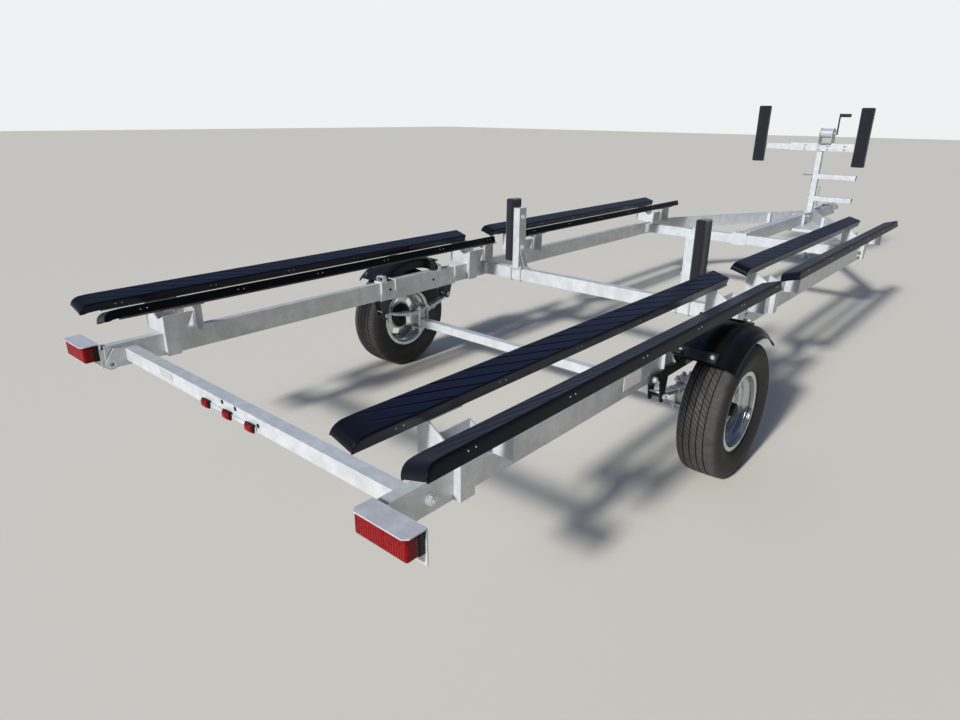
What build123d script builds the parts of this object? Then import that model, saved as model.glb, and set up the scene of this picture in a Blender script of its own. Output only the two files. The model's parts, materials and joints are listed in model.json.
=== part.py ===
from build123d import *
import os
from math import sin, cos, tan, radians, sqrt

os.makedirs("parts", exist_ok=True)

# Pontoon boat trailer, in millimetres. X is to the right, Y points forward to the hitch, Z is up.
# A station is a distance forward of the springs' middle; at() turns it into Y, so that the
# origin is under the middle of the trailer, on the ground.
rear_overhang = 1908
front_reach = 6002
axle_y = (rear_overhang - front_reach) / 2


def at(station):
    return axle_y + station


sides = (("left", -1), ("right", 1))
steel_wall = 3.2
plate = 5

# Main rails: four inch tube, bent inward to the tongue
rail_half_width = 917
rail_width = 40
rail_wall = 4.8
rail_bottom = 520
rail_height = 102
rail_top = rail_bottom + rail_height
rail_middle = rail_bottom + rail_height / 2
rail_inner = rail_half_width - rail_width
rail_rear = -1820
rail_bend_station = 3302
rail_splice_x = 222
nose_angle = 26.8
rail_bend_radius = 450
rail_splice_station = rail_bend_station + (rail_inner - rail_splice_x) / tan(radians(nose_angle))

# Crossmembers between the rails; the rear one is less tall
cross_width = 50
rear_cross_bottom = 545
rear_cross_height = 56
cross_height = 76
cross_bottom = 535
cross_top = cross_bottom + cross_height
rear_cross_station = -1740
middle_cross_station = 627
front_cross_station = 2975

# Tongue on the centreline
tongue_width = 76
tongue_height = 102
tongue_bottom = 518
tongue_top = tongue_bottom + tongue_height
tongue_rear = front_cross_station + cross_width
tongue_front = 5800

# Wheels: 13 inch rims with tyres 196 mm wide
axle_station = 46
track_half = 1089
tyre_radius = 317
tyre_width = 196
wheel_z = tyre_radius
rim_radius = 168
rim_lip_radius = 185
stud_circle_radius = 57.15
stud_radius = 9.5

# Axle and springs
axle_size = 51
axle_z = 310
spring_seat_z = 365
spring_x = 897
spring_width = 45
spring_half_length = 270
spring_leaf = 7

# Bunk pairs, as a V over each rail
cradle_x = 913.5
bunk_width = 95
bunk_thickness = 45
bunk_tilt = 16.5
bunk_low_offset = 80.5
bunk_low_z = 783
bunk_rear_start = -1845
bunk_rear_end = 585
bunk_front_start = 860
bunk_front_end = 3300
bunk_nose = 85

# Winch post with its bow bar and steps
post_station = 4950
post_size = 51
post_top = 1235
bar_bottom = 1235
bar_height = 76

# Jack beside the tongue
jack_station = 5600
jack_x = 135
jack_pivot_z = 565

# Tail lamp guards
guard_inner_x = 883
guard_outer_x = 1083
guard_rear = -1908
guard_front = -1834
guard_top = 637


def block(x0, x1, s0, s1, z0, z1, mode=Mode.ADD):
    # A box from corner to corner, with stations along Y
    with Locations(((x0 + x1) / 2, at((s0 + s1) / 2), (z0 + z1) / 2)):
        Box(abs(x1 - x0), s1 - s0, z1 - z0, mode=mode)


# Main rails
for side, sign in sides:
    with BuildPart() as rail:
        with BuildLine():
            rail_run = FilletPolyline(
                (sign * rail_inner, at(rail_rear), rail_middle),
                (sign * rail_inner, at(rail_bend_station), rail_middle),
                (sign * rail_splice_x, at(rail_splice_station), rail_middle),
                radius=rail_bend_radius,
            )
        section = Plane(origin=rail_run @ 0, x_dir=(sign, 0, 0), z_dir=(0, 1, 0))
        with BuildSketch(section):
            with Locations((rail_width / 2, 0)):
                Rectangle(rail_width, rail_height)
                Rectangle(rail_width - 2 * rail_wall, rail_height - 2 * rail_wall, mode=Mode.SUBTRACT)
        sweep()
    rail.part.label = f"rail_{side}"
    export_step(rail.part, f"parts/rail_{side}.step")

# Crossmembers: tubes with a bolted plate at each end. The table's columns are the name, the
# station of the rear face, the bottom's height and the tube's height.
crossmembers = (
    ("crossmember_rear", rear_cross_station, rear_cross_bottom, rear_cross_height),
    ("crossmember_middle", middle_cross_station, cross_bottom, cross_height),
    ("crossmember_front", front_cross_station, cross_bottom, cross_height),
)
for name, station, bottom, height in crossmembers:
    half = rail_inner - 0.5
    with BuildPart() as crossmember:
        with BuildSketch(Plane.YZ.offset(-half)):
            with Locations((at(station + cross_width / 2), bottom + height / 2)):
                Rectangle(cross_width, height)
                Rectangle(cross_width - 2 * steel_wall, height - 2 * steel_wall, mode=Mode.SUBTRACT)
        extrude(amount=2 * half)
        for sign in (-1, 1):
            block(
                sign * (half - plate),
                sign * half,
                station - 8,
                station + cross_width + 8,
                bottom - 6,
                bottom + height + 4,
            )
    crossmember.part.label = name
    export_step(crossmember.part, f"parts/{name}.step")

# Tongue tube
with BuildPart() as tongue:
    with BuildSketch(Plane.XZ.offset(-at(tongue_rear + 1))):
        with Locations((0, tongue_bottom + tongue_height / 2)):
            Rectangle(tongue_width, tongue_height)
            Rectangle(
                tongue_width - 2 * steel_wall, tongue_height - 2 * steel_wall, mode=Mode.SUBTRACT
            )
    extrude(amount=-(tongue_front - tongue_rear - 1))
tongue.part.label = "tongue"
export_step(tongue.part, "parts/tongue.step")

# Saddle that clamps the tongue to the front crossmember
with BuildPart() as saddle:
    saddle_half = 60
    s0 = front_cross_station
    s1 = front_cross_station + cross_width
    block(-saddle_half, saddle_half, s0 - plate, s1 + 60, tongue_top + 0.5, tongue_top + 5.5)
    block(-saddle_half, saddle_half, s0 - plate, s0 - 0.5, cross_bottom - 10, tongue_top + 5.5)
saddle.part.label = "tongue_saddle"
export_step(saddle.part, "parts/tongue_saddle.step")

# Nose: two bent plates that carry the rails to the tongue, with a gusset below
nose_apex_x = tongue_width / 2
slope = tan(radians(nose_angle))


def rail_line(x):
    # Station where the bent rail's inner face line has the lateral distance x
    return rail_splice_station + (rail_splice_x - x) / slope


nose_step = plate / sin(radians(nose_angle))
nose_lap_x = rail_splice_x + 50
nose_bottom = rail_bottom - 6
nose_height = rail_height + 8
nose_rear = rail_line(nose_lap_x) - nose_step
pocket_rear = rail_splice_station
with BuildPart() as nose:
    with BuildSketch(Plane.XY.offset(nose_bottom)):
        for sign in (-1, 1):
            x_out = nose_apex_x + plate
            with BuildLine():
                Polyline(
                    (sign * nose_lap_x, at(rail_line(nose_lap_x))),
                    (sign * x_out, at(rail_line(x_out))),
                    (sign * x_out, at(rail_line(nose_apex_x) + 70)),
                    (sign * nose_apex_x, at(rail_line(nose_apex_x) + 70)),
                    (sign * nose_apex_x, at(rail_line(nose_apex_x) - nose_step)),
                    (sign * nose_lap_x, at(nose_rear)),
                    close=True,
                )
            make_face()
    extrude(amount=nose_height)
    # Plates along the tongue, and the bright flanges at the rear ends of both kinds of plate
    for sign in (-1, 1):
        block(
            sign * nose_apex_x,
            sign * (nose_apex_x + plate),
            pocket_rear,
            rail_line(nose_apex_x),
            nose_bottom,
            nose_bottom + nose_height,
        )
        block(
            sign * nose_apex_x,
            sign * (nose_apex_x + 22),
            pocket_rear - plate,
            pocket_rear,
            nose_bottom,
            nose_bottom + nose_height,
        )
        block(
            sign * (nose_lap_x - 25),
            sign * (nose_lap_x + 3),
            nose_rear - plate,
            nose_rear + 3,
            nose_bottom,
            nose_bottom + nose_height,
        )
    gusset_x = 250
    gusset_rear = 4300
    gusset_front = rail_line(nose_apex_x) - 30
    with BuildSketch(Plane.XY.offset(nose_bottom)):
        with BuildLine():
            Polyline(
                (-gusset_x, at(gusset_rear)),
                (gusset_x, at(gusset_rear)),
                (gusset_x, at(rail_line(gusset_x))),
                (nose_apex_x + 10, at(gusset_front)),
                (-nose_apex_x - 10, at(gusset_front)),
                (-gusset_x, at(rail_line(gusset_x))),
                close=True,
            )
        make_face()
    extrude(amount=4)
    block(-gusset_x, gusset_x, gusset_rear, gusset_rear + 4, nose_bottom - 22, nose_bottom + 4)
nose.part.label = "nose_plates"
export_step(nose.part, "parts/nose_plates.step")

# Ball coupler: a channel over the end of the tongue, drawn in to a socket for a two inch ball
ball_radius = 25.4
socket_radius = 37
ball_station = front_reach - socket_radius
ball_z = tongue_top - 60
socket_wall = 12
coupler_rear = tongue_front - 150
with BuildPart() as coupler:
    with BuildSketch(Plane.XZ.offset(-at(coupler_rear))):
        with Locations((0, tongue_top - 30)):
            Rectangle(tongue_width + 9, 70)
        with Locations((0, tongue_top - 37)):
            Rectangle(tongue_width, 74, mode=Mode.SUBTRACT)
    extrude(amount=-150)
    with BuildSketch(Plane.XZ.offset(-at(tongue_front))):
        with Locations((0, tongue_top - 28)):
            Rectangle(tongue_width + 9, 66)
    with BuildSketch(Plane.XZ.offset(-at(ball_station - 20))):
        with Locations((0, tongue_top - 40)):
            Rectangle(48, 46)
    loft()
    with Locations((0, at(ball_station), ball_z)):
        Sphere(socket_radius)
        Sphere(ball_radius + 0.6, mode=Mode.SUBTRACT)
    block(
        -60,
        60,
        ball_station - 32,
        front_reach + 10,
        ball_z - 60,
        ball_z - socket_wall,
        mode=Mode.SUBTRACT,
    )
    with Locations((0, at(ball_station), ball_z + socket_wall / 2 - 30)):
        Cylinder(ball_radius + 0.6, 60 + socket_wall, mode=Mode.SUBTRACT)
coupler.part.label = "coupler"
export_step(coupler.part, "parts/coupler.step")

with BuildPart() as latch:
    with BuildSketch(Plane.YZ.offset(-12)):
        with BuildLine():
            Polyline(
                (at(ball_station - 120), tongue_top + 5),
                (at(ball_station - 60), tongue_top + 5),
                (at(ball_station - 30), tongue_top + 30),
                (at(ball_station - 110), tongue_top + 38),
                (at(ball_station - 190), tongue_top + 30),
                (at(ball_station - 190), tongue_top + 22),
                close=True,
            )
        make_face()
    extrude(amount=24)
latch.part.label = "coupler_latch"
export_step(latch.part, "parts/coupler_latch.step")

# Swing-up jack on the left of the tongue
tube_radius = 28.5
leg_radius = 22
jack_tube_top = jack_pivot_z + 205
jack_tube_bottom = jack_pivot_z - 235
mount_outer_x = jack_x - tube_radius - 12
mount_half = 48
with BuildPart() as jack_mount:
    block(
        -tongue_width / 2 - 8,
        -tongue_width / 2,
        jack_station - mount_half,
        jack_station + mount_half,
        tongue_bottom - 12,
        tongue_top + 12,
    )
    with BuildSketch(Plane.YZ.offset(-mount_outer_x)):
        with Locations((at(jack_station), jack_pivot_z)):
            Circle(40)
    extrude(amount=mount_outer_x - tongue_width / 2 - 8)
jack_mount.part.label = "jack_mount"
export_step(jack_mount.part, "parts/jack_mount.step")

with BuildPart() as jack_tube:
    with Locations((-jack_x, at(jack_station), (jack_tube_top + jack_tube_bottom) / 2)):
        Cylinder(tube_radius, jack_tube_top - jack_tube_bottom)
        Cylinder(tube_radius - 4, jack_tube_top - jack_tube_bottom, mode=Mode.SUBTRACT)
    with Locations((-jack_x, at(jack_station), jack_tube_top + 22)):
        Cylinder(tube_radius + 5, 44)
    with BuildSketch(Plane.YZ.offset(-mount_outer_x - 0.5)):
        with Locations((at(jack_station), jack_pivot_z)):
            Circle(44)
    extrude(amount=-30)
    with Locations((-jack_x, at(jack_station), (jack_tube_top + jack_tube_bottom) / 2)):
        Cylinder(tube_radius - 4, jack_tube_top - jack_tube_bottom, mode=Mode.SUBTRACT)
jack_tube.part.label = "jack_tube"
export_step(jack_tube.part, "parts/jack_tube.step")

crank_z = jack_tube_top + 22
with BuildPart() as jack_crank:
    with BuildLine():
        crank_run = Polyline(
            (-jack_x - tube_radius - 5, at(jack_station), crank_z),
            (-jack_x - tube_radius - 45, at(jack_station), crank_z),
            (-jack_x - tube_radius - 45, at(jack_station), crank_z + 150),
            (-jack_x - tube_radius - 150, at(jack_station), crank_z + 150),
        )
    with BuildSketch(Plane(origin=crank_run @ 0, z_dir=crank_run % 0)):
        Circle(6.5)
    sweep(transition=Transition.RIGHT)
jack_crank.part.label = "jack_crank"
export_step(jack_crank.part, "parts/jack_crank.step")

foot_radius = 60
leg_top = jack_tube_top - 230
with BuildPart() as jack_leg:
    with Locations((-jack_x, at(jack_station), leg_top / 2 + 3)):
        Cylinder(leg_radius, leg_top - 6)
    with Locations((-jack_x, at(jack_station), 3)):
        Cylinder(foot_radius, 6)
    with Locations((-jack_x, at(jack_station), 18)):
        Cone(34, 24, 24)
jack_leg.part.label = "jack_leg"
export_step(jack_leg.part, "parts/jack_leg.step")

# Winch post, its base and the steps on its right side
with BuildPart() as post:
    with BuildSketch(Plane.XY.offset(tongue_top)):
        with Locations((0, at(post_station))):
            Rectangle(post_size, post_size)
            Rectangle(post_size - 6, post_size - 6, mode=Mode.SUBTRACT)
    extrude(amount=post_top - tongue_top)
    block(
        -tongue_width / 2,
        tongue_width / 2,
        post_station - 70,
        post_station + 70,
        tongue_top,
        tongue_top + 6,
    )
post.part.label = "winch_post"
export_step(post.part, "parts/winch_post.step")

step_heights = (755, 980)
step_length = 355
with BuildPart() as steps:
    for z in step_heights:
        with BuildSketch(Plane.YZ.offset(post_size / 2)):
            with Locations((at(post_station), z)):
                RectangleRounded(60, 50, 4)
                RectangleRounded(54, 44, 2, mode=Mode.SUBTRACT)
        extrude(amount=step_length)
steps.part.label = "steps"
export_step(steps.part, "parts/steps.step")

# Bow bar: an outer tube on the post, with a thinner arm out of its left end
bar_left = -290
bar_right = 320
arm_left = -600
with BuildPart() as bow_bar:
    with BuildSketch(Plane.YZ.offset(bar_left)):
        with Locations((at(post_station), bar_bottom + bar_height / 2)):
            Rectangle(bar_height, bar_height)
            Rectangle(bar_height - 8, bar_height - 8, mode=Mode.SUBTRACT)
    extrude(amount=bar_right - bar_left)
bow_bar.part.label = "bow_bar"
export_step(bow_bar.part, "parts/bow_bar.step")

with BuildPart() as bow_arm:
    with BuildSketch(Plane.YZ.offset(arm_left)):
        with Locations((at(post_station), bar_bottom + bar_height / 2 - 4)):
            Rectangle(52, 56)
    extrude(amount=bar_left + 80 - arm_left)
    with BuildSketch(Plane.YZ.offset(bar_right - 80)):
        with Locations((at(post_station), bar_bottom + bar_height / 2 - 4)):
            Rectangle(52, 56)
    extrude(amount=150)
bow_arm.part.label = "bow_arm"
export_step(bow_arm.part, "parts/bow_arm.step")

bow_pad_width = 120
bow_pad_thickness = 50
bow_pad_rear = post_station - 26 - bow_pad_thickness
bow_pads_at = ((-604, 1390), (382, 1370))
with BuildPart() as bow_pads:
    for x, z in bow_pads_at:
        with BuildSketch(Plane.XZ.offset(-at(bow_pad_rear))):
            with Locations((x, z)):
                RectangleRounded(bow_pad_width, 560, 12)
        extrude(amount=-bow_pad_thickness)
bow_pads.part.label = "bow_pads"
export_step(bow_pads.part, "parts/bow_pads.step")

# Winch on the bow bar
winch_x = 38
winch_floor = bar_bottom + bar_height
drum_z = winch_floor + 95
with BuildPart() as winch_frame:
    for x in (winch_x - 62, winch_x + 58):
        with BuildSketch(Plane.YZ.offset(x)):
            with BuildLine():
                Polyline(
                    (at(post_station - 70), winch_floor),
                    (at(post_station + 70), winch_floor),
                    (at(post_station + 55), winch_floor + 130),
                    (at(post_station - 20), winch_floor + 150),
                    (at(post_station - 70), winch_floor + 95),
                    close=True,
                )
            make_face()
            with Locations((at(post_station), drum_z)):
                Circle(10, mode=Mode.SUBTRACT)
        extrude(amount=4)
    block(winch_x - 62, winch_x + 62, post_station - 70, post_station + 70, winch_floor, winch_floor + 4)
winch_frame.part.label = "winch_frame"
export_step(winch_frame.part, "parts/winch_frame.step")

with BuildPart() as winch_drum:
    with BuildSketch(Plane.YZ.offset(winch_x - 57)):
        with Locations((at(post_station), drum_z)):
            Circle(46)
    extrude(amount=114)
    with BuildSketch(Plane.YZ.offset(winch_x - 66)):
        with Locations((at(post_station), drum_z)):
            Circle(9.8)
    extrude(amount=150)
winch_drum.part.label = "winch_drum"
export_step(winch_drum.part, "parts/winch_drum.step")

with BuildPart() as winch_handle:
    with BuildSketch(Plane.YZ.offset(winch_x + 84)):
        with BuildLine():
            Polyline(
                (at(post_station - 14), drum_z - 14),
                (at(post_station + 14), drum_z - 14),
                (at(post_station + 14), drum_z + 190),
                (at(post_station - 14), drum_z + 190),
                close=True,
            )
        make_face()
    extrude(amount=8)
    with BuildSketch(Plane.YZ.offset(winch_x + 92)):
        with Locations((at(post_station), drum_z + 172)):
            Circle(16)
    extrude(amount=95)
winch_handle.part.label = "winch_handle"
export_step(winch_handle.part, "parts/winch_handle.step")

# Bunks: a board in a cover that is open below. The table's columns are the lean, -1 for the
# inner row and 1 for the outer one, and the stations where the row starts and ends.
tilt = radians(bunk_tilt)
bunk_rows = (
    (-1, bunk_rear_start, bunk_rear_end),
    (1, bunk_rear_start, bunk_rear_end),
    (-1, bunk_front_start, bunk_front_end),
    (1, bunk_front_start, bunk_front_end),
)
cover_wall = 3.5


def bunk_plane(sign, lean, station):
    # Plane across a bunk, its x along the top face outward from the gap, its y up from that face
    low_x = cradle_x + lean * bunk_low_offset
    across = Vector(sign * lean * cos(tilt), 0, sin(tilt))
    forward = Vector(0, 1, 0)
    if sign * lean > 0:
        forward = Vector(0, -1, 0)
    return Plane(origin=(sign * low_x, at(station), bunk_low_z), x_dir=across, z_dir=forward)


def bunk_side_plane(sign, lean, station):
    # Plane along a bunk through its low edge, its x forward and its y up from the top face
    low_x = cradle_x + lean * bunk_low_offset
    up = Vector(-sign * lean * sin(tilt), 0, cos(tilt))
    return Plane(
        origin=(sign * low_x, at(station), bunk_low_z),
        x_dir=(0, 1, 0),
        z_dir=Vector(0, 1, 0).cross(up),
    )


for side, sign in sides:
    with BuildPart() as boards:
        for lean, start, end in bunk_rows:
            work = bunk_plane(sign, lean, start + bunk_nose)
            turn = -sign * lean
            with BuildSketch(work):
                with Locations((bunk_width / 2, -(bunk_thickness + cover_wall) / 2)):
                    Rectangle(bunk_width - 2 * cover_wall, bunk_thickness - cover_wall)
            extrude(amount=turn * (end - start - bunk_nose))
    boards.part.label = f"bunk_boards_{side}"
    export_step(boards.part, f"parts/bunk_boards_{side}.step")

    with BuildPart() as covers:
        for lean, start, end in bunk_rows:
            work = bunk_plane(sign, lean, start + bunk_nose)
            turn = -sign * lean
            with BuildSketch(work):
                with Locations((bunk_width / 2, -bunk_thickness / 2)):
                    RectangleRounded(bunk_width, bunk_thickness, 3)
                with Locations((bunk_width / 2, -(bunk_thickness + cover_wall) / 2 - 2)):
                    Rectangle(
                        bunk_width - 2 * cover_wall, bunk_thickness - cover_wall + 4, mode=Mode.SUBTRACT
                    )
            extrude(amount=turn * (end - start - bunk_nose))
            nose_plane = bunk_side_plane(sign, lean, start + bunk_nose)
            with BuildSketch(nose_plane):
                with BuildLine():
                    Line((0, -bunk_thickness), (0, 0))
                    ThreePointArc((0, 0), (-bunk_nose * 0.62, -9), (-bunk_nose, -bunk_thickness * 0.75))
                    Polyline(
                        (-bunk_nose, -bunk_thickness * 0.75),
                        (-bunk_nose + 4, -bunk_thickness),
                        (0, -bunk_thickness),
                    )
                make_face()
            extrude(amount=sign * lean * bunk_width)
    covers.part.label = f"bunk_covers_{side}"
    export_step(covers.part, f"parts/bunk_covers_{side}.step")

# Bunk brackets: two equal pressed halves over the rail, the front one turned about. Each has an end
# plate with one wing under a bunk, a leg and a side plate down past the rail. A row's columns are
# the halves' end stations.
bracket_rows = ((-1570, -1425), (465, 610), (1020, 1165), (3045, 3190))
rail_centre = rail_half_width - rail_width / 2
wing_reach = 125
leg_reach = 48
prong_z = 706
notch_x = 905
notch_z = 682
saddle_z = rail_top + 6
side_top_length = 140
side_foot_length = 62
drop = bunk_thickness
seat_low_x = bunk_low_offset + drop * sin(tilt) - plate * sin(tilt)
seat_low_z = bunk_low_z - (drop + plate) * cos(tilt)


def seat_height(x):
    # Height of a seat plate's underside at a distance from the middle
    lateral = abs(x - cradle_x) - seat_low_x
    return seat_low_z + lateral * tan(tilt)


for side, sign in sides:
    with BuildPart() as brackets:
        for rear, front in bracket_rows:
            for turn, station in ((1, rear), (-1, front)):
                # Outward is where the wing points, seen from the trailer's middle
                outward = -sign * turn
                wing_end = rail_centre + outward * wing_reach
                seat_end = cradle_x + outward * seat_low_x
                leg_out = rail_centre - outward * leg_reach
                leg_in = rail_centre - outward * (rail_width / 2 + 0.5)
                outline = (
                    (wing_end, saddle_z - 4),
                    (wing_end, seat_height(wing_end)),
                    (seat_end, seat_height(seat_end)),
                    (notch_x, notch_z),
                    (leg_out, prong_z),
                    (leg_out, rail_bottom),
                    (leg_in, rail_bottom),
                    (leg_in, saddle_z - 4),
                )
                with BuildSketch(Plane.XZ.offset(-at(station))):
                    with BuildLine():
                        Polyline(*[(sign * x, z) for x, z in outline], close=True)
                    make_face()
                extrude(amount=-turn * plate)
                with BuildSketch(Plane.YZ.offset(sign * leg_out)):
                    with BuildLine():
                        Polyline(
                            (at(station), rail_bottom),
                            (at(station), prong_z),
                            (at(station + turn * side_top_length), prong_z),
                            (at(station + turn * side_foot_length), rail_bottom + 24),
                            (at(station + turn * side_foot_length), rail_bottom),
                            close=True,
                        )
                    make_face()
                extrude(amount=sign * outward * plate)
            for lean in (-1, 1):
                with BuildSketch(bunk_plane(sign, lean, rear)):
                    with Locations((41, -bunk_thickness - plate / 2)):
                        Rectangle(82, plate)
                extrude(amount=-sign * lean * (front - rear))
            block(
                sign * (rail_centre - leg_reach),
                sign * (rail_centre + leg_reach),
                rear,
                front,
                rail_top,
                saddle_z,
            )
    brackets.part.label = f"bunk_brackets_{side}"
    export_step(brackets.part, f"parts/bunk_brackets_{side}.step")

# Axle: a square tube with spring pads, end plates and stub spindles
axle_tube_end = 990
spindle_radius = 15.8
with BuildPart() as axle:
    with BuildSketch(Plane.YZ.offset(-axle_tube_end)):
        with Locations((at(axle_station), axle_z)):
            RectangleRounded(axle_size, axle_size, 6)
    extrude(amount=2 * axle_tube_end)
    for sign in (-1, 1):
        block(
            sign * (spring_x - spring_width / 2),
            sign * (spring_x + spring_width / 2),
            axle_station - 38,
            axle_station + 38,
            axle_z,
            spring_seat_z,
        )
        with BuildSketch(Plane.YZ.offset(sign * axle_tube_end)):
            with Locations((at(axle_station), (axle_z + wheel_z) / 2 - 2)):
                RectangleRounded(66, 84, 12)
        extrude(amount=sign * 6)
        with BuildSketch(Plane.YZ.offset(sign * (axle_tube_end + 6))):
            with Locations((at(axle_station), wheel_z)):
                Circle(spindle_radius)
        extrude(amount=sign * (track_half + 12 - axle_tube_end - 6))
axle.part.label = "axle"
export_step(axle.part, "parts/axle.step")

# Leaf springs: four leaves, curved up to an eye in front and a slipper end behind. The table's
# columns are the leaf's number from the top and its reach behind and ahead.
leaf_rise = 50
main_inner = (spring_half_length**2 + leaf_rise**2) / (2 * leaf_rise)
leaf_top = spring_seat_z + 4 * spring_leaf
arc_centre_z = leaf_top + main_inner
leaves = ((0, 285, spring_half_length), (1, 190, 215), (2, 100, 165), (3, 20, 112))
eye_z = arc_centre_z - sqrt(main_inner**2 - spring_half_length**2) + 14
eye_radius = 17
pin_radius = 8
with BuildPart() as springs:
    for sign in (-1, 1):
        with BuildSketch(Plane.YZ.offset(sign * spring_x - spring_width / 2)):
            for index, behind, ahead in leaves:
                inner = main_inner + index * spring_leaf
                with BuildSketch(mode=Mode.PRIVATE) as leaf:
                    with Locations((at(0), arc_centre_z)):
                        Circle(inner + spring_leaf)
                        Circle(inner, mode=Mode.SUBTRACT)
                    with Locations((at((ahead - behind) / 2), spring_seat_z + 50)):
                        Rectangle(ahead + behind, 120, mode=Mode.INTERSECT)
                add(leaf.sketch)
            with Locations((at(spring_half_length), eye_z)):
                Circle(eye_radius)
                Circle(pin_radius + 0.4, mode=Mode.SUBTRACT)
        extrude(amount=spring_width)
springs.part.label = "leaf_springs"
export_step(springs.part, "parts/leaf_springs.step")

# Clamps that hold each spring on the axle
rod_radius = 6
with BuildPart() as clamps:
    for sign in (-1, 1):
        clamp_bottom = axle_z - axle_size / 2 - 8
        for z0 in (clamp_bottom, leaf_top + 6.5):
            block(
                sign * (spring_x - 42),
                sign * (spring_x + 42),
                axle_station - 46,
                axle_station + 46,
                z0,
                z0 + 8,
            )
        for dx in (-30, 30):
            for ds in (-34, 34):
                with BuildSketch(Plane.XY.offset(clamp_bottom - 20)):
                    with Locations((sign * spring_x + dx, at(axle_station + ds))):
                        RegularPolygon(rod_radius, 12)
                extrude(amount=leaf_top - clamp_bottom + 40)
clamps.part.label = "axle_clamps"
export_step(clamps.part, "parts/axle_clamps.step")

# Carriages: a sleeve round each rail, with a raised flange at each end and one over the hanger
carriage_rear = -290
carriage_front = 343
flange_width = 9
flange_stations = (carriage_rear, -182, carriage_front - plate)
with BuildPart() as carriages:
    for sign in (-1, 1):
        for x0 in (rail_inner - plate, rail_half_width):
            block(
                sign * x0,
                sign * (x0 + plate),
                carriage_rear,
                carriage_front,
                rail_bottom - 8,
                rail_top + 4,
            )
        block(
            sign * (rail_inner - plate),
            sign * (rail_half_width + plate),
            carriage_rear,
            carriage_front,
            rail_bottom - 8,
            rail_bottom,
        )
        for station in flange_stations:
            for x0 in (rail_inner - plate - flange_width, rail_half_width + plate):
                block(
                    sign * x0,
                    sign * (x0 + flange_width),
                    station,
                    station + plate,
                    rail_bottom + 38,
                    rail_top + 8,
                )
            block(
                sign * (rail_inner - plate),
                sign * (rail_half_width + plate),
                station,
                station + plate,
                rail_top,
                rail_top + 8,
            )
carriages.part.label = "axle_carriages"
export_step(carriages.part, "parts/axle_carriages.step")

# Spring hangers: a pair of legs and a pin at each end of each spring
hanger_half = spring_width / 2 + 1.5
hanger_top = rail_bottom - 8
hangers = (
    (spring_half_length, eye_z),
    (-spring_half_length + 5, eye_z - 34),
)
with BuildPart() as spring_hangers:
    for sign in (-1, 1):
        for s_pin, z_pin in hangers:
            for edge in (-hanger_half - plate, hanger_half):
                with BuildSketch(Plane.YZ.offset(sign * spring_x + edge)):
                    with BuildLine():
                        Polyline(
                            (at(s_pin - 20), z_pin - 8),
                            (at(s_pin + 20), z_pin - 8),
                            (at(s_pin + 38), hanger_top),
                            (at(s_pin - 38), hanger_top),
                            close=True,
                        )
                    make_face()
                    with Locations((at(s_pin), z_pin - 8)):
                        Circle(20)
                extrude(amount=plate)
            with BuildSketch(Plane.YZ.offset(sign * spring_x - hanger_half - plate - 6)):
                with Locations((at(s_pin), z_pin)):
                    Circle(pin_radius)
            extrude(amount=2 * (hanger_half + plate + 6))
spring_hangers.part.label = "spring_hangers"
export_step(spring_hangers.part, "parts/spring_hangers.step")

# Fenders: part of a drum about the wheel, with a rounded shoulder, a lip outside and a skirt inside
fender_radius = 391
fender_sheet = 4
fender_inner_x = 932
fender_outer_x = 1196
fender_from = 50
fender_sweep = 83
wheel_axis = Axis((0, at(axle_station), wheel_z), (1, 0, 0))
fender_profile = (
    (fender_inner_x, 60),
    (fender_inner_x, 12),
    (fender_inner_x + 12, 2),
    (1000, 0),
    (1136, 0),
    (1156, 7),
    (1174, 21),
    (1183, 38),
    (fender_outer_x, 43),
)


def from_wheel(radius, angle):
    # A point in the YZ plane at a radius and an angle, in degrees, about the wheel
    return (
        at(axle_station + radius * cos(radians(angle))),
        wheel_z + radius * sin(radians(angle)),
    )


def radial_plane(sign, angle):
    # A plane through the wheel's axis, its x outward from the middle and its y along the radius
    radial = Vector(0, cos(radians(angle)), sin(radians(angle)))
    return Plane(
        origin=(0, at(axle_station), wheel_z),
        x_dir=(sign, 0, 0),
        z_dir=Vector(sign, 0, 0).cross(radial),
    )


with BuildPart() as fenders:
    for sign in (-1, 1):
        with BuildSketch(radial_plane(sign, fender_from)):
            with BuildLine():
                outline = Polyline(*[(x, fender_radius - drop) for x, drop in fender_profile])
                offset(outline, amount=fender_sheet, side=Side.RIGHT)
            make_face()
        revolve(axis=wheel_axis, revolution_arc=fender_sweep)
fenders.part.label = "fenders"
export_step(fenders.part, "parts/fenders.step")

# Fender brackets: a bar along each rail, and two straps over the fender with feet on the rail. A
# strap's columns are its angle about the wheel, its inner end and its foot's reach from the middle.
strap_width = 45
strap_thickness = 10
strap_end = 1118
straps = (
    (72, rail_inner, rail_half_width),
    (129, fender_inner_x, 975),
)
foot_half = 20
foot_top = rail_top + 12
bar_thickness = 10
with BuildPart() as fender_brackets:
    for sign in (-1, 1):
        with BuildSketch(Plane.YZ.offset(sign * (rail_half_width + plate))):
            with Locations((at(-35), 535)):
                SlotOverall(730, 44)
        extrude(amount=sign * bar_thickness)
        for angle, strap_start, foot_reach in straps:
            with BuildSketch(radial_plane(sign, angle)):
                with Locations(
                    ((strap_start + strap_end) / 2, fender_radius + strap_thickness / 2)
                ):
                    Rectangle(strap_end - strap_start, strap_thickness)
            extrude(amount=strap_width / 2, both=True)
            y_strap, z_strap = from_wheel(fender_radius + strap_thickness / 2, angle)
            foot_station = y_strap - at(0)
            if z_strap > foot_top:
                block(
                    sign * strap_start,
                    sign * foot_reach,
                    foot_station - 3,
                    foot_station + 3,
                    foot_top,
                    z_strap,
                )
            else:
                foot_station -= foot_half
            block(
                sign * rail_inner,
                sign * foot_reach,
                foot_station - foot_half,
                foot_station + foot_half,
                rail_top + 4,
                foot_top,
            )
fender_brackets.part.label = "fender_brackets"
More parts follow.
